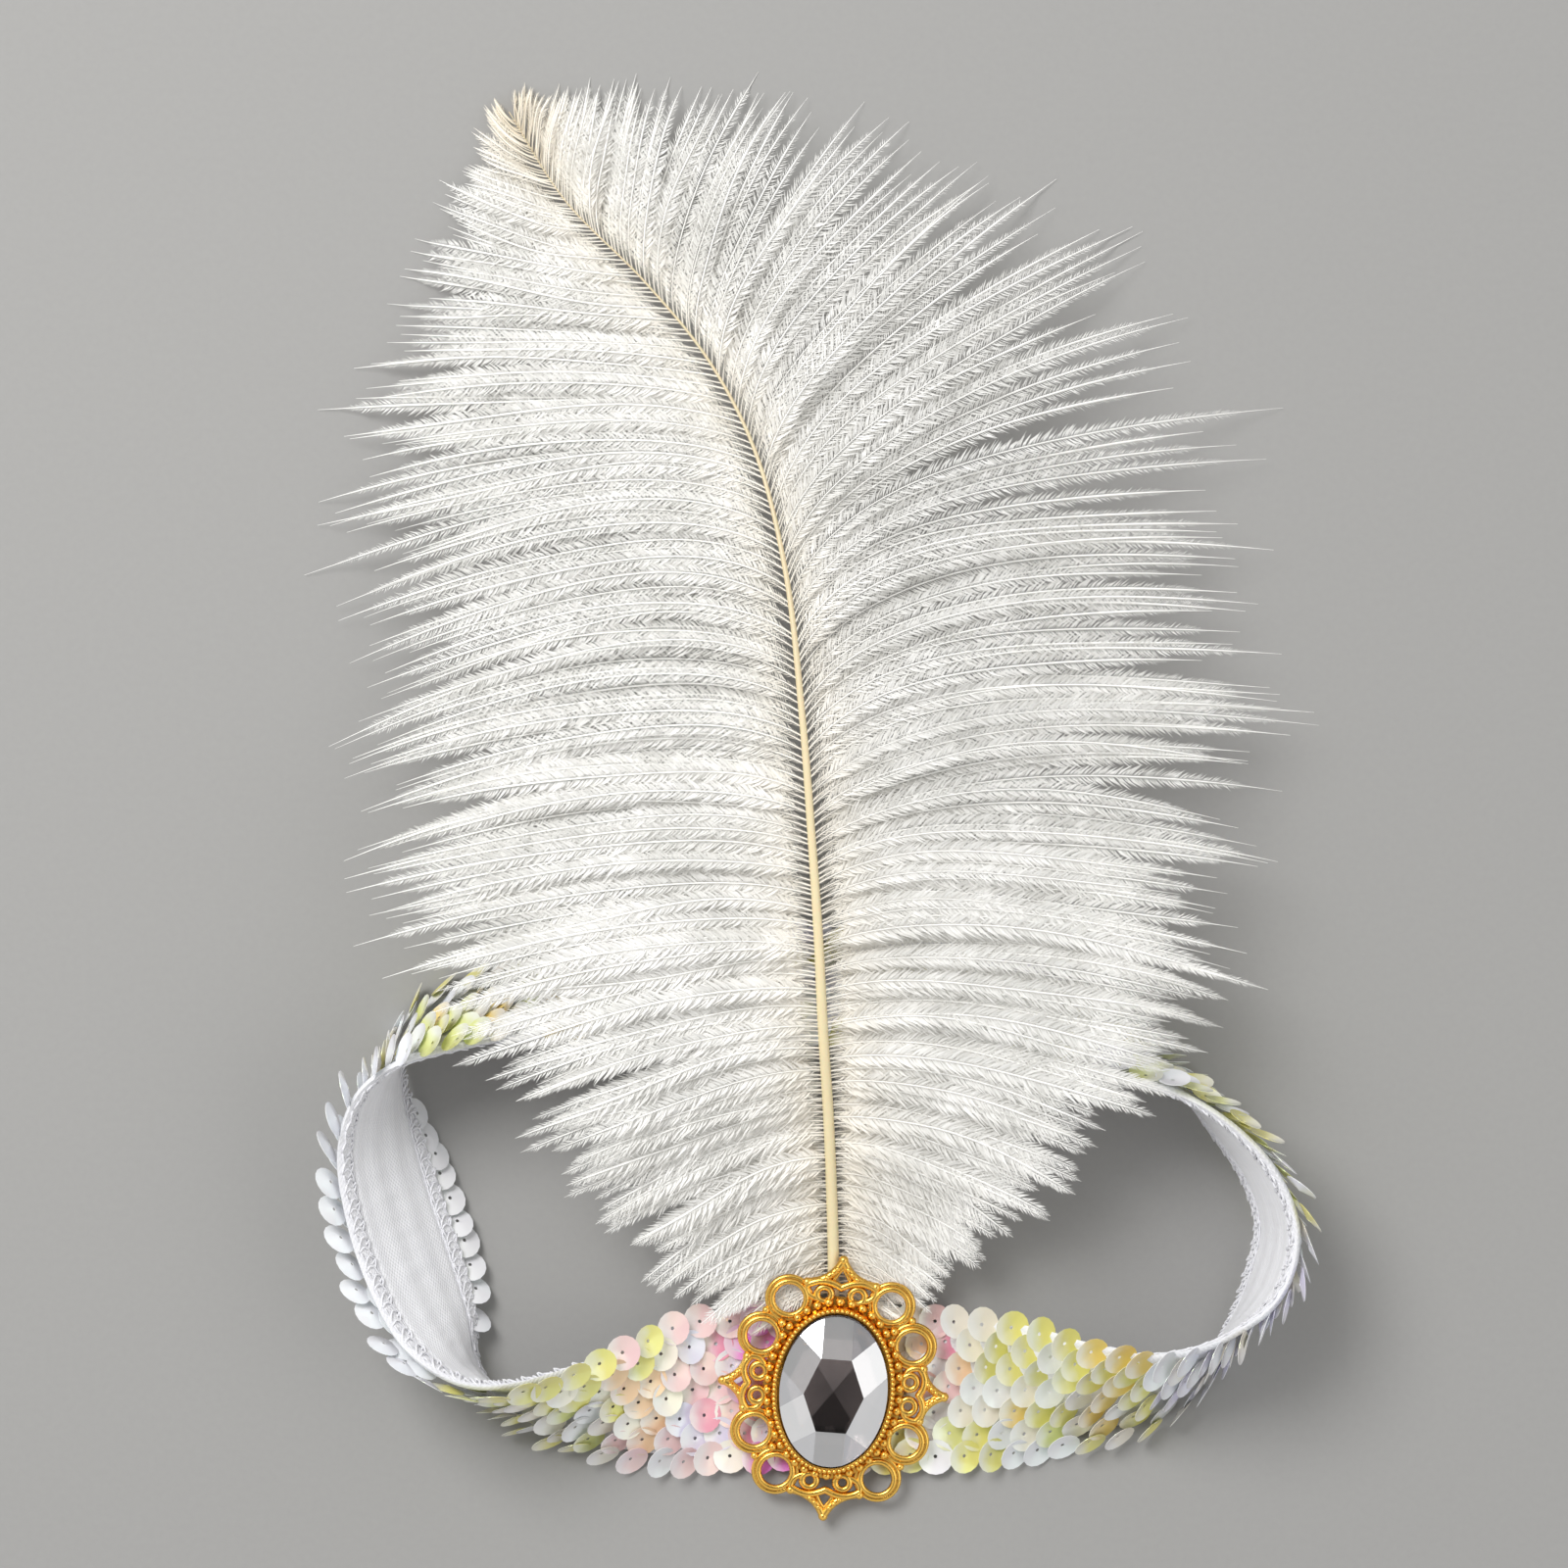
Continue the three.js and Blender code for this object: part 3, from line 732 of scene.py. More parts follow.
def makeSequins(finish):
    rng = np.random.default_rng(sequins["seed"])
    stray, rowStray, radius = sequins["stray"], sequins["rowStray"], sequins["radius"]
    half = (sequins["rows"] - 1) / 2
    shares, vs, rows = [], [], []
    for row in range(sequins["rows"]):
        for i in range(sequins["round"]):
            shares.append((i + 0.5 * (row % 2) + rng.uniform(-stray, stray)) / sequins["round"] % 1)
            vs.append((row - half) * sequins["rowPitch"] + rng.uniform(-rowStray, rowStray))
            rows.append(row)
    shares, vs = np.array(shares), np.array(vs)
    count = len(shares)
    middle, along, across, outward = bandFrames(shares)
    isEdge = (np.array(rows) == 0) & (outward[:, 2] < sequins["edgeFrom"])
    vs = vs - sequins["edgeOut"] * isEdge
    isFront = middle[:, 1] < band["width"] / 2
    isPressed = (np.abs(middle[:, 0]) < sequins["pressedHalf"]) & isFront
    lean = sequins["lean"] + rng.normal(0, sequins["leanSpread"], count)
    lean = np.where(isPressed, sequins["pressedLean"], lean)
    lean = np.radians(np.clip(lean, *sequins["leanRange"]))[:, None]
    roll = np.radians(vs * sequins["roll"] + rng.normal(0, sequins["rollSpread"], count))
    roll = np.where(isPressed, roll * sequins["pressedRoll"], roll)[:, None]
    heading = along * np.cos(lean) + outward * np.sin(lean)
    facing = outward * np.cos(lean) - along * np.sin(lean)
    facing = unit(facing * np.cos(roll) + across * np.sin(roll))
    rise = band["thickness"] / 2 + sequins["lift"] + radius * np.sin(lean)
    rise = rise + rng.uniform(0, sequins["liftSpread"], count)[:, None]
    rise = np.where(isEdge[:, None], sequins["edgeRise"] * rise, rise)
    points = middle + vs[:, None] * across + rise * outward
    rim = max(sequins["sizes"]) * radius
    lowest = points[:, 2] - rim * np.sqrt(1 - facing[:, 2] ** 2) - sequins["cup"]
    points[:, 2] += np.maximum(0, sequins["floorGap"] - lowest)  # no disc sinks into the floor
    tints = [sequinTint(rng, share * bandLength, v) for share, v in zip(shares, vs)]
    size = rng.uniform(*sequins["sizes"], count)
    source = meshOf("sequins", points, facing=facing, heading=heading, size=size, tint=tints)
    return grown("sequins", source, scatter, Shape=sequinShape(), Finish=finish)


addPiece("sequinField", makeSequins(sequinFinish()), "sequin", "sequin_field")


# Brooch setting

setting = {
    "ovalRatio": 0.705,
    "height": 4.35,
    "tilt": 6.0,
    "turn": -4.5,
    "stoneRadius": 12.4,
    "flange": [(0, 0), (15.0, 0), (15.15, 0.35), (14.9, 0.85), (13.7, 0.95)],  # radius and height
    "wall": [(13.4, 2.75), (13.25, 3.0), (12.95, 3.02), (12.75, 2.85), (12.7, 0.7), (0, 0.7)],
    "ovalSteps": 96,
    "beadRows": [(42, 14.35, 1.1, 0.74), (92, 13.25, 2.85, 0.4)],  # count, place, height and radius
    "loopPlaces": [(8.3, 14.3), (12.3, 7.9)],
    "loopRings": [(2.8, 0.75, 0.52), (3.5, 0.5, 0.45)],  # radius, height and wire
    "loopBeads": [(11.87, 12.08, 0.6, 0.66), (9.1, 10.2, 1.1, 0.7)],  # place, height and radius
    "wireSides": 10,
    "beadSides": 12,
    "beadRings": 9,  # with both poles
    "gold": rgb(248, 198, 96),
    # painted shade: the deeper amber that the gilt takes in its hollows
    "goldHollowShade": rgb(206, 142, 48),
}
ornaments = [  # how they are turned round the stone, and their sizes out from its middle and to either side
    {"turns": (0, 180), "tip": 21.2, "base": (5.6, 17.2), "dip": 16.7, "eye": (2.7, 15.4)},
    {"turns": (90, -90), "tip": 18.0, "base": (4.3, 14.3), "dip": 13.9, "eye": (2.0, 12.3)},
]
ornamentWires = {"edge": 0.66, "window": 0.36, "wave": 0.6, "hook": 0.56, "eye": 0.56}
ornamentBeads = {"tip": 0.8, "dip": 0.6, "base": 0.78, "edge": 0.46}


def ovalPoint(angle, radius):
    # the oval grows evenly past the edge of the stone
    inside = np.minimum(radius, setting["stoneRadius"])
    ratio = setting["ovalRatio"]
    away = unit(np.stack([np.cos(angle) / ratio, np.sin(angle)], axis=-1))
    core = np.stack([ratio * inside * np.cos(angle), inside * np.sin(angle)], axis=-1)
    return core + away * np.asarray(radius - inside)[..., None]


def onBrooch(points):
    # from the brooch's own plane to where it lies
    tilt = Matrix.Rotation(math.radians(setting["tilt"]), 3, "X")
    turn = tilt @ Matrix.Rotation(math.radians(setting["turn"]), 3, "Z")
    return np.asarray(points, float) @ np.array(turn).T + np.array([0, 0, setting["height"]])


def turned(points, degrees):
    return np.asarray(points, float) @ np.array(Matrix.Rotation(math.radians(degrees), 3, "Z")).T


def goldFinish():
    finish, tree, shader = newFinish("gilt", Metallic=1.0)
    # painted shade: the gilt turns deeper amber in its hollows, read from ambient occlusion
    hollowShade = 1 - tree.node("ShaderNodeAmbientOcclusion", {"samples": 8}, {"Distance": 0.0011}).at("AO")
    cast = tree.noise(1300.0, 3.0)
    tree.fill(shader, {
        "Base Color": tree.blend(hollowShade.between(0.12, 0.75), setting["gold"], setting["goldHollowShade"]),
        "Roughness": 0.2 + 0.16 * cast,
        "Normal": tree.bump(cast, 0.25, 0.00012),
    })
    return finish


def makeTray():
    angles = 2 * np.pi * np.arange(setting["ovalSteps"]) / setting["ovalSteps"]
    profile = np.array(setting["flange"] + setting["wall"])
    rings = []
    for angle in angles:
        flat = ovalPoint(np.full(len(profile), angle), profile[:, 0])
        rings.append(np.column_stack([flat, profile[:, 1]]))
    points = onBrooch(np.vstack(rings))
    faces = skinFaces(len(rings), len(profile), True, isTube=False)
    return tidied(meshOf("tray", points, (), faces), 40)


def ring(x, y, z, radius, steps=36):
    angles = np.linspace(0, 2 * np.pi, steps + 1)
    circle = np.column_stack([np.cos(angles), np.sin(angles), np.zeros(steps + 1)])
    return np.array([x, y, z]) + radius * circle


def bow(start, bend, end, steps=14):
    # a bent line in the brooch's plane
    share = np.linspace(0, 1, steps)[:, None]
    start, bend, end = (np.array(p, float) for p in (start, bend, end))
    return (1 - share) ** 2 * start + 2 * share * (1 - share) * bend + share**2 * end


def ornamentParts(row):
    # the wires of one pointed ornament with their thickness, and its beads
    half, foot = row["base"]
    eyeSide, eyeOut = row["eye"]
    tip, dip = row["tip"], row["dip"]
    lines = []
    beads = [(0, tip, 0.7, ornamentBeads["tip"]), (0, dip, 1.0, ornamentBeads["dip"])]
    for side in (-1, 1):
        base = (side * half, foot - 0.5)
        parts = {
            "edge": bow((side * half, foot, 0.6), (side * 0.28 * half, foot + 0.4, 0.7), (0, tip, 0.7)),
            "window": bow((side * 1.5, foot + 0.1, 0.7), (side * 1.1, foot + 1.4, 0.7), (0, tip - 1.3, 0.7)),
            "wave": bow((*base, 0.8), (side * 0.55 * half, foot + 1.3, 1.0), (0, dip, 1.0)),
            "hook": bow(
                (*base, 0.7),
                (side * (half + 0.3), eyeOut - 0.3, 0.6),
                (side * (eyeSide + 0.9), eyeOut - 0.9, 0.6),
            ),
            "eye": ring(side * eyeSide, eyeOut, 0.7, 1.2, 24),
        }
        lines += [(line, ornamentWires[name]) for name, line in parts.items()]
        beads.append((side * half, foot, 0.7, ornamentBeads["base"]))
        beads += [(*parts["edge"][i, :2], 1.1, ornamentBeads["edge"]) for i in (6, 8, 10)]
    return lines, np.array(beads)


def ovalBeads(count, away, z, radius):
    # evenly spaced beads round the stone
    angles = np.linspace(0, 2 * np.pi, 2000)
    outline = ovalPoint(angles, np.full(len(angles), away))
    length = lengthAlong(outline)
    marks = (np.arange(count) + 0.5) / count * length[-1]
    return np.column_stack([sampled(outline, length, marks), np.full(count, z), np.full(count, radius)])


def makeWirework(finish):
    lines = []
    beads = [ovalBeads(*row) for row in setting["beadRows"]]
    for sideX, sideY in ((1, 1), (-1, 1), (-1, -1), (1, -1)):
        for x, y in setting["loopPlaces"]:
            for radius, z, wire in setting["loopRings"]:
                lines.append((ring(sideX * x, sideY * y, z, radius), wire))
        beads.append(np.array(setting["loopBeads"]) * (sideX, sideY, 1, 1))
    for row in ornaments:
        rowLines, rowBeads = ornamentParts(row)
        for turn in row["turns"]:
            lines += [(turned(line, turn), wire) for line, wire in rowLines]
            beads.append(np.column_stack([turned(rowBeads[:, :3], turn), rowBeads[:, 3]]))
    girths = [np.full(len(line), wire * mm) for line, wire in lines]
    source = linesOf("wirework", [onBrooch(line) for line, wire in lines], False, girth=girths)
    wirework = grown("wirework", source, wires, Sides=setting["wireSides"], Finish=finish)
    wirework.shade_smooth()
    beads = np.vstack(beads)
    upward = onBrooch([(0, 0, 1)])[0] - onBrooch([(0, 0, 0)])[0]
    source = meshOf(
        "beads", onBrooch(beads[:, :3]), size=beads[:, 3],
        facing=np.tile(upward, (len(beads), 1)), heading=np.tile([1.0, 0, 0], (len(beads), 1)),
    )
    return [wirework, grown("beads", source, scatter, Shape=beadShape(), Finish=finish)]


def beadShape():
    # a ball one millimetre in radius
    rise = np.linspace(-np.pi / 2, np.pi / 2, setting["beadRings"])
    away, height = np.cos(rise), np.sin(rise)
    rings = []
    for angle in 2 * np.pi * np.arange(setting["beadSides"]) / setting["beadSides"]:
        rings.append(np.column_stack([away * np.cos(angle), away * np.sin(angle), height]))
    faces = skinFaces(len(rings), len(rise), True, isTube=False)
    mesh = bpy.data.meshes.new("bead")
    mesh.from_pydata((np.vstack(rings) * mm).tolist(), [], faces)
    return shapeOf("bead", tidied(mesh, 180))


gilt = goldFinish()
addPiece("giltSetting", joined("giltSetting", [makeTray(), *makeWirework(gilt)], gilt), "gold", "setting")


# Cut stone

stone = {
    "radius": setting["stoneRadius"],
    "height": 5.2,
    "rests": 1.0,  # above the back of the setting
    "girdle": 2.3,
    "tableSides": 6,
    "tableApothem": 6.0,
    "outline": 72,
    "foil": 0.2,
    "foilInset": 0.1,
    "foilGap": 0.04,
    "backFacets": 4,
    "backSlope": 4.5,  # degrees
    "silver": {"far": 0.5, "near": 0.88},  # how much the sloping facets mirror
    # the facets' painted reflection and shade run from clear to shade
    "clear": rgb(252, 252, 252),
    "shade": rgb(204, 204, 208),
    "foilLight": rgb(186, 168, 162),
    "foilDark": rgb(156, 138, 132),
}


def crystalFinish():
    finish, tree, shader = newFinish("crystal", Transmission_Weight=1.0, IOR=1.5, Roughness=0.01)
    cloud = tree.noise(160.0, 1.0)
    x, y, z = tree.axes(tree.node("ShaderNodeNewGeometry").at("True Normal"))
    isSloping = (z * z).between(0.975, 0.92)
    isNear = y.between(0.12, -0.08) * (x * x).between(0.004, 0.02)  # the two sides of the front
    facetShade = (x * 9 + y * 14).sine() * 0.5 + 0.5  # painted reflection and shade: each facet is lighter or darker by which way it faces
    far, near = stone["silver"]["far"], stone["silver"]["near"]
    tree.fill(shader, {
        "Base Color": tree.blend(facetShade * 0.9 + cloud * 0.1, stone["clear"], stone["shade"]),
        "Metallic": isSloping * (far + (near - far) * isNear),
    })
    return finish


def foilFinish():
    finish, tree, shader = newFinish("silverFoil", Metallic=1.0)
    ripple = tree.noise(500.0, 2.0)
    tree.fill(shader, {
        "Base Color": tree.blend(ripple, stone["foilLight"], stone["foilDark"]),
        "Roughness": 0.05 + 0.1 * ripple,
    })
    return finish


def cutAway(work, start, degrees, slope, isBack=False):
    # takes off what lies beyond a facet that looks out at an angle, and closes the cut
    angle = math.radians(degrees)
    way = Vector((math.cos(angle), math.sin(angle), 0))
    upward = Vector((0, 0, -1 if isBack else 1))
    point = way * start + Vector((0, 0, 0 if isBack else stone["height"]))
    normal = way * math.sin(slope) + upward * math.cos(slope)
    whole = work.verts[:] + work.edges[:] + work.faces[:]
    plane = {"plane_co": point, "plane_no": normal, "clear_outer": True, "dist": 1e-6}
    cut = bmesh.ops.bisect_plane(work, geom=whole, **plane)
    edges = [item for item in cut["geom_cut"] if isinstance(item, bmesh.types.BMEdge)]
    if edges:
        bmesh.ops.contextual_create(work, geom=edges)


def makeStone(finish):
    work = bmesh.new()
    radius, height = stone["radius"], stone["height"]
    sides, apothem = stone["tableSides"], stone["tableApothem"]
    blank = {"segments": stone["outline"], "radius1": radius, "radius2": radius, "depth": height}
    bmesh.ops.create_cone(work, cap_ends=True, **blank)
    bmesh.ops.translate(work, verts=work.verts, vec=(0, 0, height / 2))
    step = 360 / sides
    corner = apothem / math.cos(math.radians(step / 2))
    for first, start in ((step / 2, apothem), (0, corner)):
        slope = math.atan2(height - stone["girdle"], radius - start)
        for i in range(sides):
            cutAway(work, start, first + step * i, slope)
    for i in range(stone["backFacets"]):
        cutAway(work, 0, 360 / stone["backFacets"] * i, math.radians(stone["backSlope"]), isBack=True)
    points = np.array([v.co[:] for v in work.verts])
    points[:, 0] *= setting["ovalRatio"]
    points[:, 2] += stone["rests"]
    work.verts.index_update()
    faces = [[v.index for v in face.verts] for face in work.faces]
    work.free()
    return tidied(meshOf("stone", onBrooch(points), (), faces), 5, finish)


def makeFoil(finish):
    angles = 2 * np.pi * np.arange(stone["outline"]) / stone["outline"]
    rim, foil = stone["radius"] - stone["foilInset"], stone["foil"]
    slope = math.tan(math.radians(stone["backSlope"]))
    rings = []
    for angle in angles:
        flat = ovalPoint(np.full(4, angle), np.array([0, rim, rim, 0]))
        lift = rim * slope * max(abs(math.cos(angle)), abs(math.sin(angle)))
        heights = np.array([-foil, lift - foil, lift, 0]) + stone["rests"] - stone["foilGap"]
        rings.append(np.column_stack([flat, heights]))
    faces = skinFaces(len(rings), 4, True, isTube=False)
    return tidied(meshOf("foil", onBrooch(np.vstack(rings)), (), faces), 40, finish)


addPiece("cutStone", makeStone(crystalFinish()), "crystal", "stone")
addPiece("stoneFoil", makeFoil(foilFinish()), "crystal", "stone")


# Quill

quill = {
    "steps": 160,
    "girths": [(0, 1.0), (0.3, 0.8), (0.5, 0.52), (0.68, 0.31), (0.88, 0.14), (1, 0.08)],  # share, radius
    "sides": 12,
    "pale": rgb(244, 228, 182),
    "tan": rgb(212, 196, 162),
}
quillRows = [
    (0, 4, 3.65), (0, 12.5, 4.45), (0, 21, 5.6), (-0.8, 43.2, 15.5), (-1.8, 58.7, 22.6), (-2.6, 74.2, 27),
    (-3.7, 90.2, 29.6), (-5.1, 108.2, 30.5), (-7.8, 131.7, 29), (-12.6, 150.7, 25.5), (-20, 165.4, 20.5),
    (-30.4, 178.6, 14.5), (-43.5, 192.5, 7.5), (-52.8, 207.5, 1.6),
]
quillPath, quillWays = evenPath(quillRows, False, 900)[:2]
quillWays = unit(quillWays)


def quillFinish():
    inner = {"Subsurface_Weight": 0.1, "Subsurface_Scale": 0.0006}
    finish, tree, shader = newFinish("creamQuill", Coat_Roughness=0.3, **inner)
    reach = tree.axes(tree.node("ShaderNodeTexCoord").at("Object"))[1]
    streak = tree.noise(1.0, 3.0, (4200, 90, 4200))
    share = reach.between(-0.06, 0.07) * 0.75 + streak * 0.35
    tree.fill(shader, {
        "Base Color": tree.blend(share, quill["pale"], quill["tan"]),
        "Roughness": 0.32 + 0.2 * streak,
        "Coat Weight": 0.1 + 0.2 * streak,
        "Normal": tree.bump(streak, 0.2, 0.0001),
    })
    return finish


def makeQuill(finish):
    marks = np.linspace(0, 1, quill["steps"])
    path = quillAt(marks)[0]
    girth = quillGirth(marks) * mm
    source = linesOf("quill", [path], False, girth=[girth])
    mesh = grown("quill", source, wires, Sides=quill["sides"], Finish=finish)
    mesh.shade_smooth()
    return mesh


def quillGirth(shares):
    return np.interp(shares, *zip(*quill["girths"]))


def quillAt(shares):
    # place and direction of the quill, and the way to its right
    marks = np.linspace(0, 1, len(quillPath))
    place = sampled(quillPath, marks, shares)
    ahead = unit(sampled(quillWays, marks, shares))
    right = unit(np.stack([ahead[..., 1], -ahead[..., 0], np.zeros(ahead.shape[:-1])], axis=-1))
    return place, ahead, right


addPiece("quillShaft", makeQuill(quillFinish()), "quill", "quill")


# Plume

plume = {
    "seed": 5,
    "barbs": 240,  # on each side
    "span": (0.05, 0.992),  # shares of the quill that carry barbs
    "crowdFoot": 0.8,  # how much closer together barbs stand at the foot and at the tip
    "crowdTip": 1.3,
    "stray": 0.25,  # shares of a barb's room on the quill
    "spinePoints": 26,
    "leaveRun": 0.3,
    "droop": 1.8,
    "lengths": (0.9, 1.03),
    "lockEnds": 0.36,  # chance that a lock ends at a barb
    "lockLength": 0.03,
    "gather": 0.36,  # how far tips of a lock draw together
    "gatherFan": 0.16,  # the same where barbs fan out at the upper right
    "gatherSpread": (0.6, 1.3),
    "fanFrom": (0.45, 0.6),
    "wave": 1.1,
    "waveSpread": 0.7,
    "waves": (0.35, 0.9),  # along a barb
    "lockWave": 0.5,
    "lockWaves": 0.8,
    "layers": 2.2,
    "flatUntil": 0.1,  # barbs that leave the quill before this lie flat under the brooch
    "floor": 0.18,
    "floorSpread": 0.25,
    "shaft": [(0, 0.15), (0.3, 0.15), (0.65, 0.18), (0.86, 0.23), (1, 0.03)],  # share of a barb, radius
    "shaftSpread": (0.7, 1.15),
    "barbule": 2.8,
    "barbuleSpread": (0.85, 1.15),
    "barbuleLeast": 0.0002,  # metres, and shorter ones are left out
    "barbuleSpacing": {"Lower": 0.33, "Upper": 0.42},
    "barbuleRoll": 0.5,  # radians
    "shortBarb": 24.0,  # barbs shorter than this have shorter barbules
    "warmRun": 7.0,  # millimetres from the quill over which barbs turn from cream to white
    "glow": 0.08,
    "shaftWhite": rgb(255, 254, 250),
    "white": rgb(240, 239, 236),
    "grey": rgb(222, 221, 217),
    "cream": rgb(238, 224, 196),
}
plumeChanges = {  # value at the foot, value further up, and the shares of the quill between which it changes
    "leaveLeft": (84.0, 46.0, 0.18, 0.6),  # degrees from the quill
    "leaveRight": (84.0, 28.0, 0.18, 0.6),
    "downy": (1.15, 1.0, 0.12, 0.45),  # barbules are this much longer
    "full": (2.5, 7.0, 0.1, 0.35),  # millimetres from the quill to barbules of full length
    "fade": (0.72, 0.74, 0.12, 0.35),  # share of a barb where they start to shorten
    "bare": (0.97, 0.95, 0.2, 0.45),  # past this a barb is a bare hair
}
plumeRows = [  # y of the root, reach to the left, reach to the right, height of the tips
    (18, (-15, -7.5), (13, -6), 5), (27, (-24, -13), (19, -11), 8), (37, (-33, -13), (28, -11), 15),
    (46, (-40.5, -13), (40, -11), 23.5), (53, (-44, -12), (48, -9), 28.5),
    (62, (-50, -10.5), (60, -5.5), 30), (75, (-64, -8), (67, -4.5), 28), (87, (-72, -5.5), (71.5, 2), 20),
    (96, (-72, -7), (75.5, 12.5), 13), (105, (-73.7, -7.6), (76.5, 15), 8), (122, (-72, -8), (77.7, 21), 3),
    (129, (-73, -7.5), (74, 34), 1.8), (136, (-73, -6), (60, 44), 1.2), (145, (-73, -4), (47, 47), 0.8),
    (156, (-67, 2), (35, 47.3), 0.3), (168, (-52, 4), (16.6, 43.8), 0.2), (182, (-31, 9), (3.5, 30), 0.2),
    (194, (-15, 6), (2.4, 18), 0.6), (200, (-8.5, 7), (2.2, 11), 0.7), (204, (-5, 5.5), (0.6, 7.5), 0.8),
    (207, (-2.6, 4), (-1.8, 4.6), 0.8),
]


def upQuill(name, shares):
    foot, top, start, end = plumeChanges[name]
    return mixed(foot, top, eased(shares, start, end))[..., None]


def plumePoint(hand, shares, out):
    # shares say where barbs leave the quill, out how far along them a point lies
    root, ahead, right = quillAt(shares)
    roots = [row[0] for row in plumeRows]
    reach = [row[2] if hand > 0 else row[1] for row in plumeRows]
    tipX = root[..., 0] + np.interp(root[..., 1], roots, [x for x, y in reach])
    tipY = root[..., 1] + np.interp(root[..., 1], roots, [y for x, y in reach])
    tipZ = np.interp(root[..., 1], roots, [row[3] for row in plumeRows])
    tip = np.stack([tipX, tipY, tipZ], axis=-1)
    root = root + right * (hand * 0.7 * quillGirth(shares))[..., None]
    leave = np.radians(upQuill("leaveRight" if hand > 0 else "leaveLeft", shares))
    run = plume["leaveRun"] * np.linalg.norm(tip - root, axis=-1, keepdims=True)
    turn = root + ahead * run * np.cos(leave) + right * hand * run * np.sin(leave)
    share = out[..., None]
    place = (1 - share) ** 2 * root + 2 * share * (1 - share) * turn + share**2 * tip
    place[..., 2] = mixed(root[..., 2], tipZ, out ** plume["droop"])
    return place


def barbRoots(rng):
    # where barbs leave the quill, and the number of the lock that each belongs to
    count = plume["barbs"]
    marks = np.linspace(*plume["span"], 500)
    crowd = 1 + plume["crowdFoot"] * (1 - eased(marks, 0.25, 0.5)) + plume["crowdTip"] * eased(marks, 0.8, 1)
    crowd = np.cumsum(crowd) / crowd.sum()
    stray = rng.uniform(-plume["stray"], plume["stray"], count)
    shares = np.interp((np.arange(count) + 0.5 + stray) / count, crowd, marks)
    return shares, np.cumsum(rng.random(count) < plume["lockEnds"])


def fanShare(hand, shares):
    # 1 where barbs fan out at the upper right
    return eased(shares, *plume["fanFrom"])[:, None] * (hand > 0)


def barbLines(rng, hand, shares, locks, out):
    # spines of all barbs on one side
    each = (len(shares), 1)
    middles = np.array([shares[locks == lock].mean() for lock in locks])
    gather = mixed(plume["gather"], plume["gatherFan"], fanShare(hand, shares))
    gather = gather * rng.uniform(*plume["gatherSpread"], each) * eased(out, 0.25, 1.0)
    moved = shares[:, None] + (middles - shares)[:, None] * gather
    length = rng.uniform(*plume["lengths"], each) * (1 + plume["lockLength"] * np.sin(locks * 2.4))[:, None]
    lines = plumePoint(hand, moved, out * length)
    wave = plume["wave"] * rng.normal(0, plume["waveSpread"], each)
    phase = out * rng.uniform(*plume["waves"], each) + rng.random(each)
    swing = wave * np.sin(2 * np.pi * phase) * out
    phase = out * plume["lockWaves"] + rng.random(len(shares) + 1)[locks][:, None]
    swing = swing + plume["lockWave"] * np.sin(2 * np.pi * phase) * eased(out, 0.15, 0.8)
    lines = lines + quillAt(shares)[1][:, None, :] * swing[..., None]
    layer = plume["layers"] * rng.uniform(-1, 1, each) * np.sin(np.pi * out**0.7)
    layer = layer * eased(shares, plume["span"][0], plume["flatUntil"])[:, None]
    floor = plume["floor"] + plume["floorSpread"] * rng.random(each)
    lines[..., 2] = np.maximum(lines[..., 2] + layer, floor)
    return lines


def barbFluff(rng, hand, shares, lines, out):
    # radius of every barb, length of its barbules, and how cream it is
    each = (len(shares), 1)
    shaft = np.interp(out, *zip(*plume["shaft"])) * rng.uniform(*plume["shaftSpread"], each)
    reach = np.linalg.norm(lines[:, -1] - lines[:, 0], axis=1)[:, None]
    fade = upQuill("fade", shares) - 0.1 * fanShare(hand, shares)
    bare = upQuill("bare", shares)
    taper = mixed(1.0, 0.4, eased((out - fade) / (bare - fade), 0, 1)) * (out < bare)
    fluff = mixed(0.12, 1.0, eased(out * reach / upQuill("full", shares), 0.1, 1)) * taper
    fluff = fluff * plume["barbule"] * upQuill("downy", shares) * rng.uniform(*plume["barbuleSpread"], each)
    fluff = fluff * np.clip(reach / plume["shortBarb"], 0.45, 1)
    warm = np.exp(-out * reach / plume["warmRun"]) * 0.5 + 0.4 * eased(shares, 0.9, 0.99)[:, None]
    return {"girth": shaft * mm, "fluff": fluff * mm, "warm": np.clip(warm, 0, 1)}


def featherFinish():
    glow = {"Emission_Strength": plume["glow"]}  # light that thin barbs pass on to each other
    finish, tree, shader = newFinish("whiteDown", Sheen_Weight=0.3, Sheen_Roughness=0.5, **glow)
    warm = tree.attribute("warm").at("Fac")
    soft = tree.noise(90.0, 4.0)
    fresh = tree.blend(soft.between(0.3, 0.7), plume["white"], plume["grey"])
    fresh = tree.blend(tree.attribute("core").at("Fac"), fresh, plume["shaftWhite"])
    colour = tree.blend(warm, fresh, plume["cream"])
    tree.fill(shader, {
        "Base Color": colour,
        "Roughness": 0.6 + 0.25 * soft,
        "Emission Color": colour,
    })
    return finish


def barbuleShape():
    # a pair of thin closed blades, one to either side of the barb that runs along Z, one unit long
    points, faces = [], []
    for side in (-1, 1):
        start = len(points)
        points += [(0, 0, 0), (side * 0.33, -0.03, 0.25)]
        points += [(side * 0.27, -0.07, 0.31), (side * 0.62, -0.16, 0.8)]
        for corners in ((0, 1, 2), (0, 2, 3), (0, 3, 1), (3, 2, 1)):
            faces.append([start + k for k in corners[::side]])
    mesh = bpy.data.meshes.new("barbules")
    mesh.from_pydata(points, [], faces)
    return shapeOf("barbules", tidied(mesh, 5))


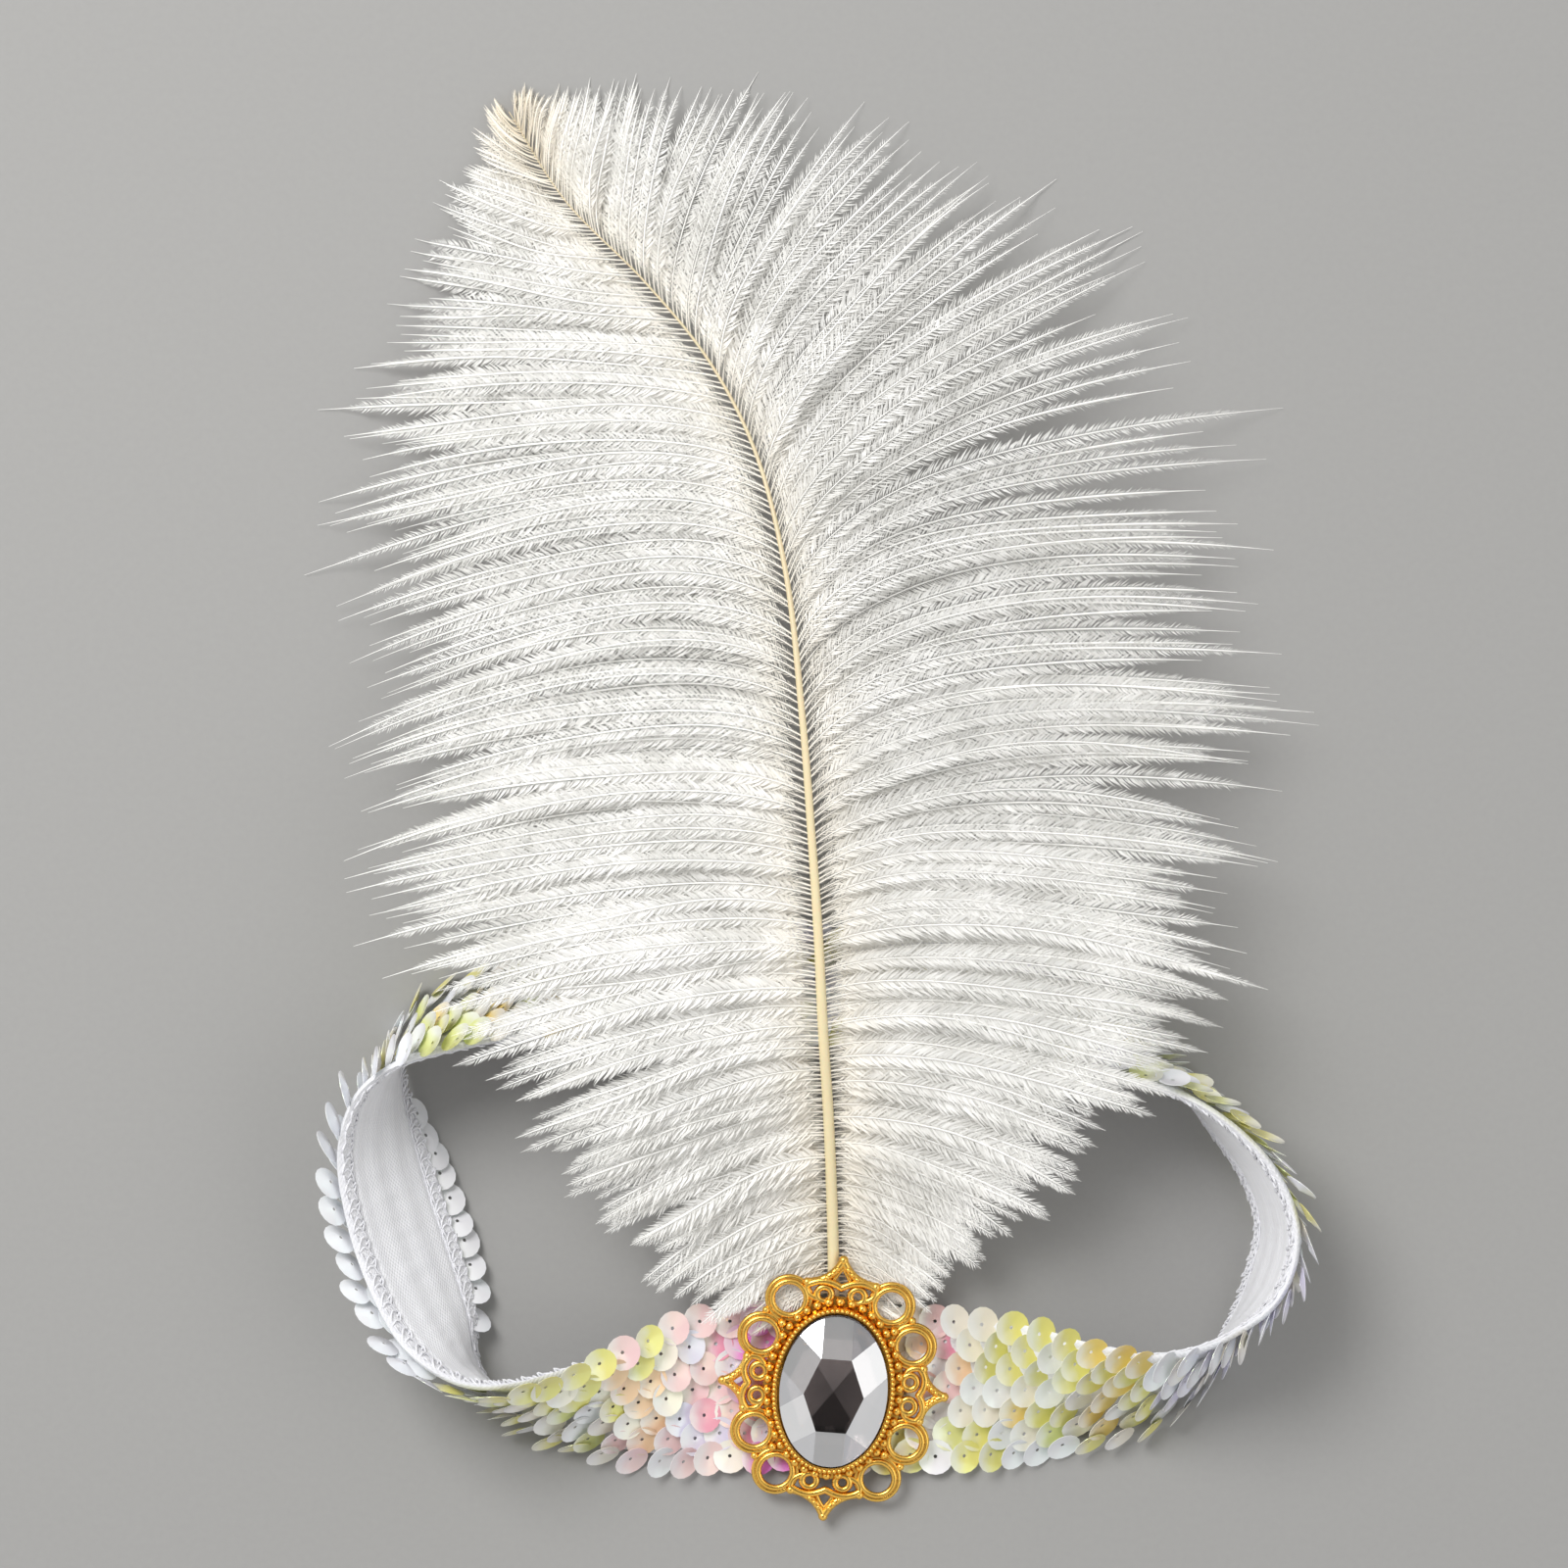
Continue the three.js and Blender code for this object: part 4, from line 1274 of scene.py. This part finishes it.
def barbGrowth():
    # a thin shaft along every spine, with barbules at even steps along it
    inputs = {"Shape": "Object", "Spacing": "Float", "Roll": "Float", "Seed": "Int", "Finish": "Material"}
    tree, given = newGrowth("barbs", **inputs)

    def chance(least, most, step):
        sockets = {"Min": least, "Max": most, "Seed": given.at("Seed") + step}
        return tree.node("FunctionNodeRandomValue", {"data_type": "FLOAT"}, sockets)

    line = tree.node("GeometryNodeMeshToCurve", {}, {"Mesh": given.at("Geometry")})
    sockets = {"Geometry": tubes(tree, line, 3), "Name": "core", "Value": 1.0}
    shafts = tree.node("GeometryNodeStoreNamedAttribute", {"data_type": "FLOAT"}, sockets)
    sockets = {"Curve": line, "Length": given.at("Spacing")}
    steps = tree.node("GeometryNodeResampleCurve", {"mode": "LENGTH"}, sockets)
    turn = tree.aimed("Z", tree.node("GeometryNodeInputTangent"))
    turn = tree.aimed("Y", (0, 0, 1), "Z", turn)
    roll = tree.node("ShaderNodeCombineXYZ", {}, {
        "X": chance(-0.22, 0.22, 1),
        "Y": chance(-0.12, 0.12, 2),
        "Z": chance(given.at("Roll") * -1, given.at("Roll"), 3),
    })
    sockets = {"Rotation": turn, "Rotate By": tree.node("FunctionNodeEulerToRotation", {}, {"Euler": roll})}
    turn = tree.node("FunctionNodeRotateRotation", {"rotation_space": "LOCAL"}, sockets)
    copies = tree.node("GeometryNodeInstanceOnPoints", {}, {
        "Points": steps,
        "Selection": tree.stored("fluff") > plume["barbuleLeast"],
        "Instance": tree.node("GeometryNodeObjectInfo", {}, {"Object": given.at("Shape")}).at("Geometry"),
        "Rotation": turn,
        "Scale": tree.stored("fluff") * chance(0.75, 1.2, 4),
    })
    whole = tree.node("GeometryNodeRealizeInstances", {}, {"Geometry": copies})
    both = tree.node("GeometryNodeJoinGeometry", {}, {"Geometry": whole})
    tree.fill(both.socket.node, {"Geometry": shafts})
    return endGrowth(tree, both, given.at("Finish"))


def makePlume():
    finish, growth, shape = featherFinish(), barbGrowth(), barbuleShape()
    out = np.linspace(0, 1, plume["spinePoints"])[None, :]
    for hand, side in ((-1, "Left"), (1, "Right")):
        seed = plume["seed"] + hand
        rng = np.random.default_rng(seed)
        shares, locks = barbRoots(rng)
        lines = barbLines(rng, hand, shares, locks, out)
        values = barbFluff(rng, hand, shares, lines, out)
        half = len(lines) // 2
        for name, chosen in (("Lower", slice(None, half)), ("Upper", slice(half, None))):
            title = "plume" + side + name
            chosenValues = {key: list(value[chosen]) for key, value in values.items()}
            source = linesOf(title, list(lines[chosen]), False, **chosenValues)
            mesh = grown(
                title, source, growth, Shape=shape, Finish=finish, Seed=seed,
                Spacing=plume["barbuleSpacing"][name] * mm, Roll=plume["barbuleRoll"],
            )
            mesh.shade_smooth()
            addPiece(title, mesh, "plume", "plume_" + side.lower())


makePlume()
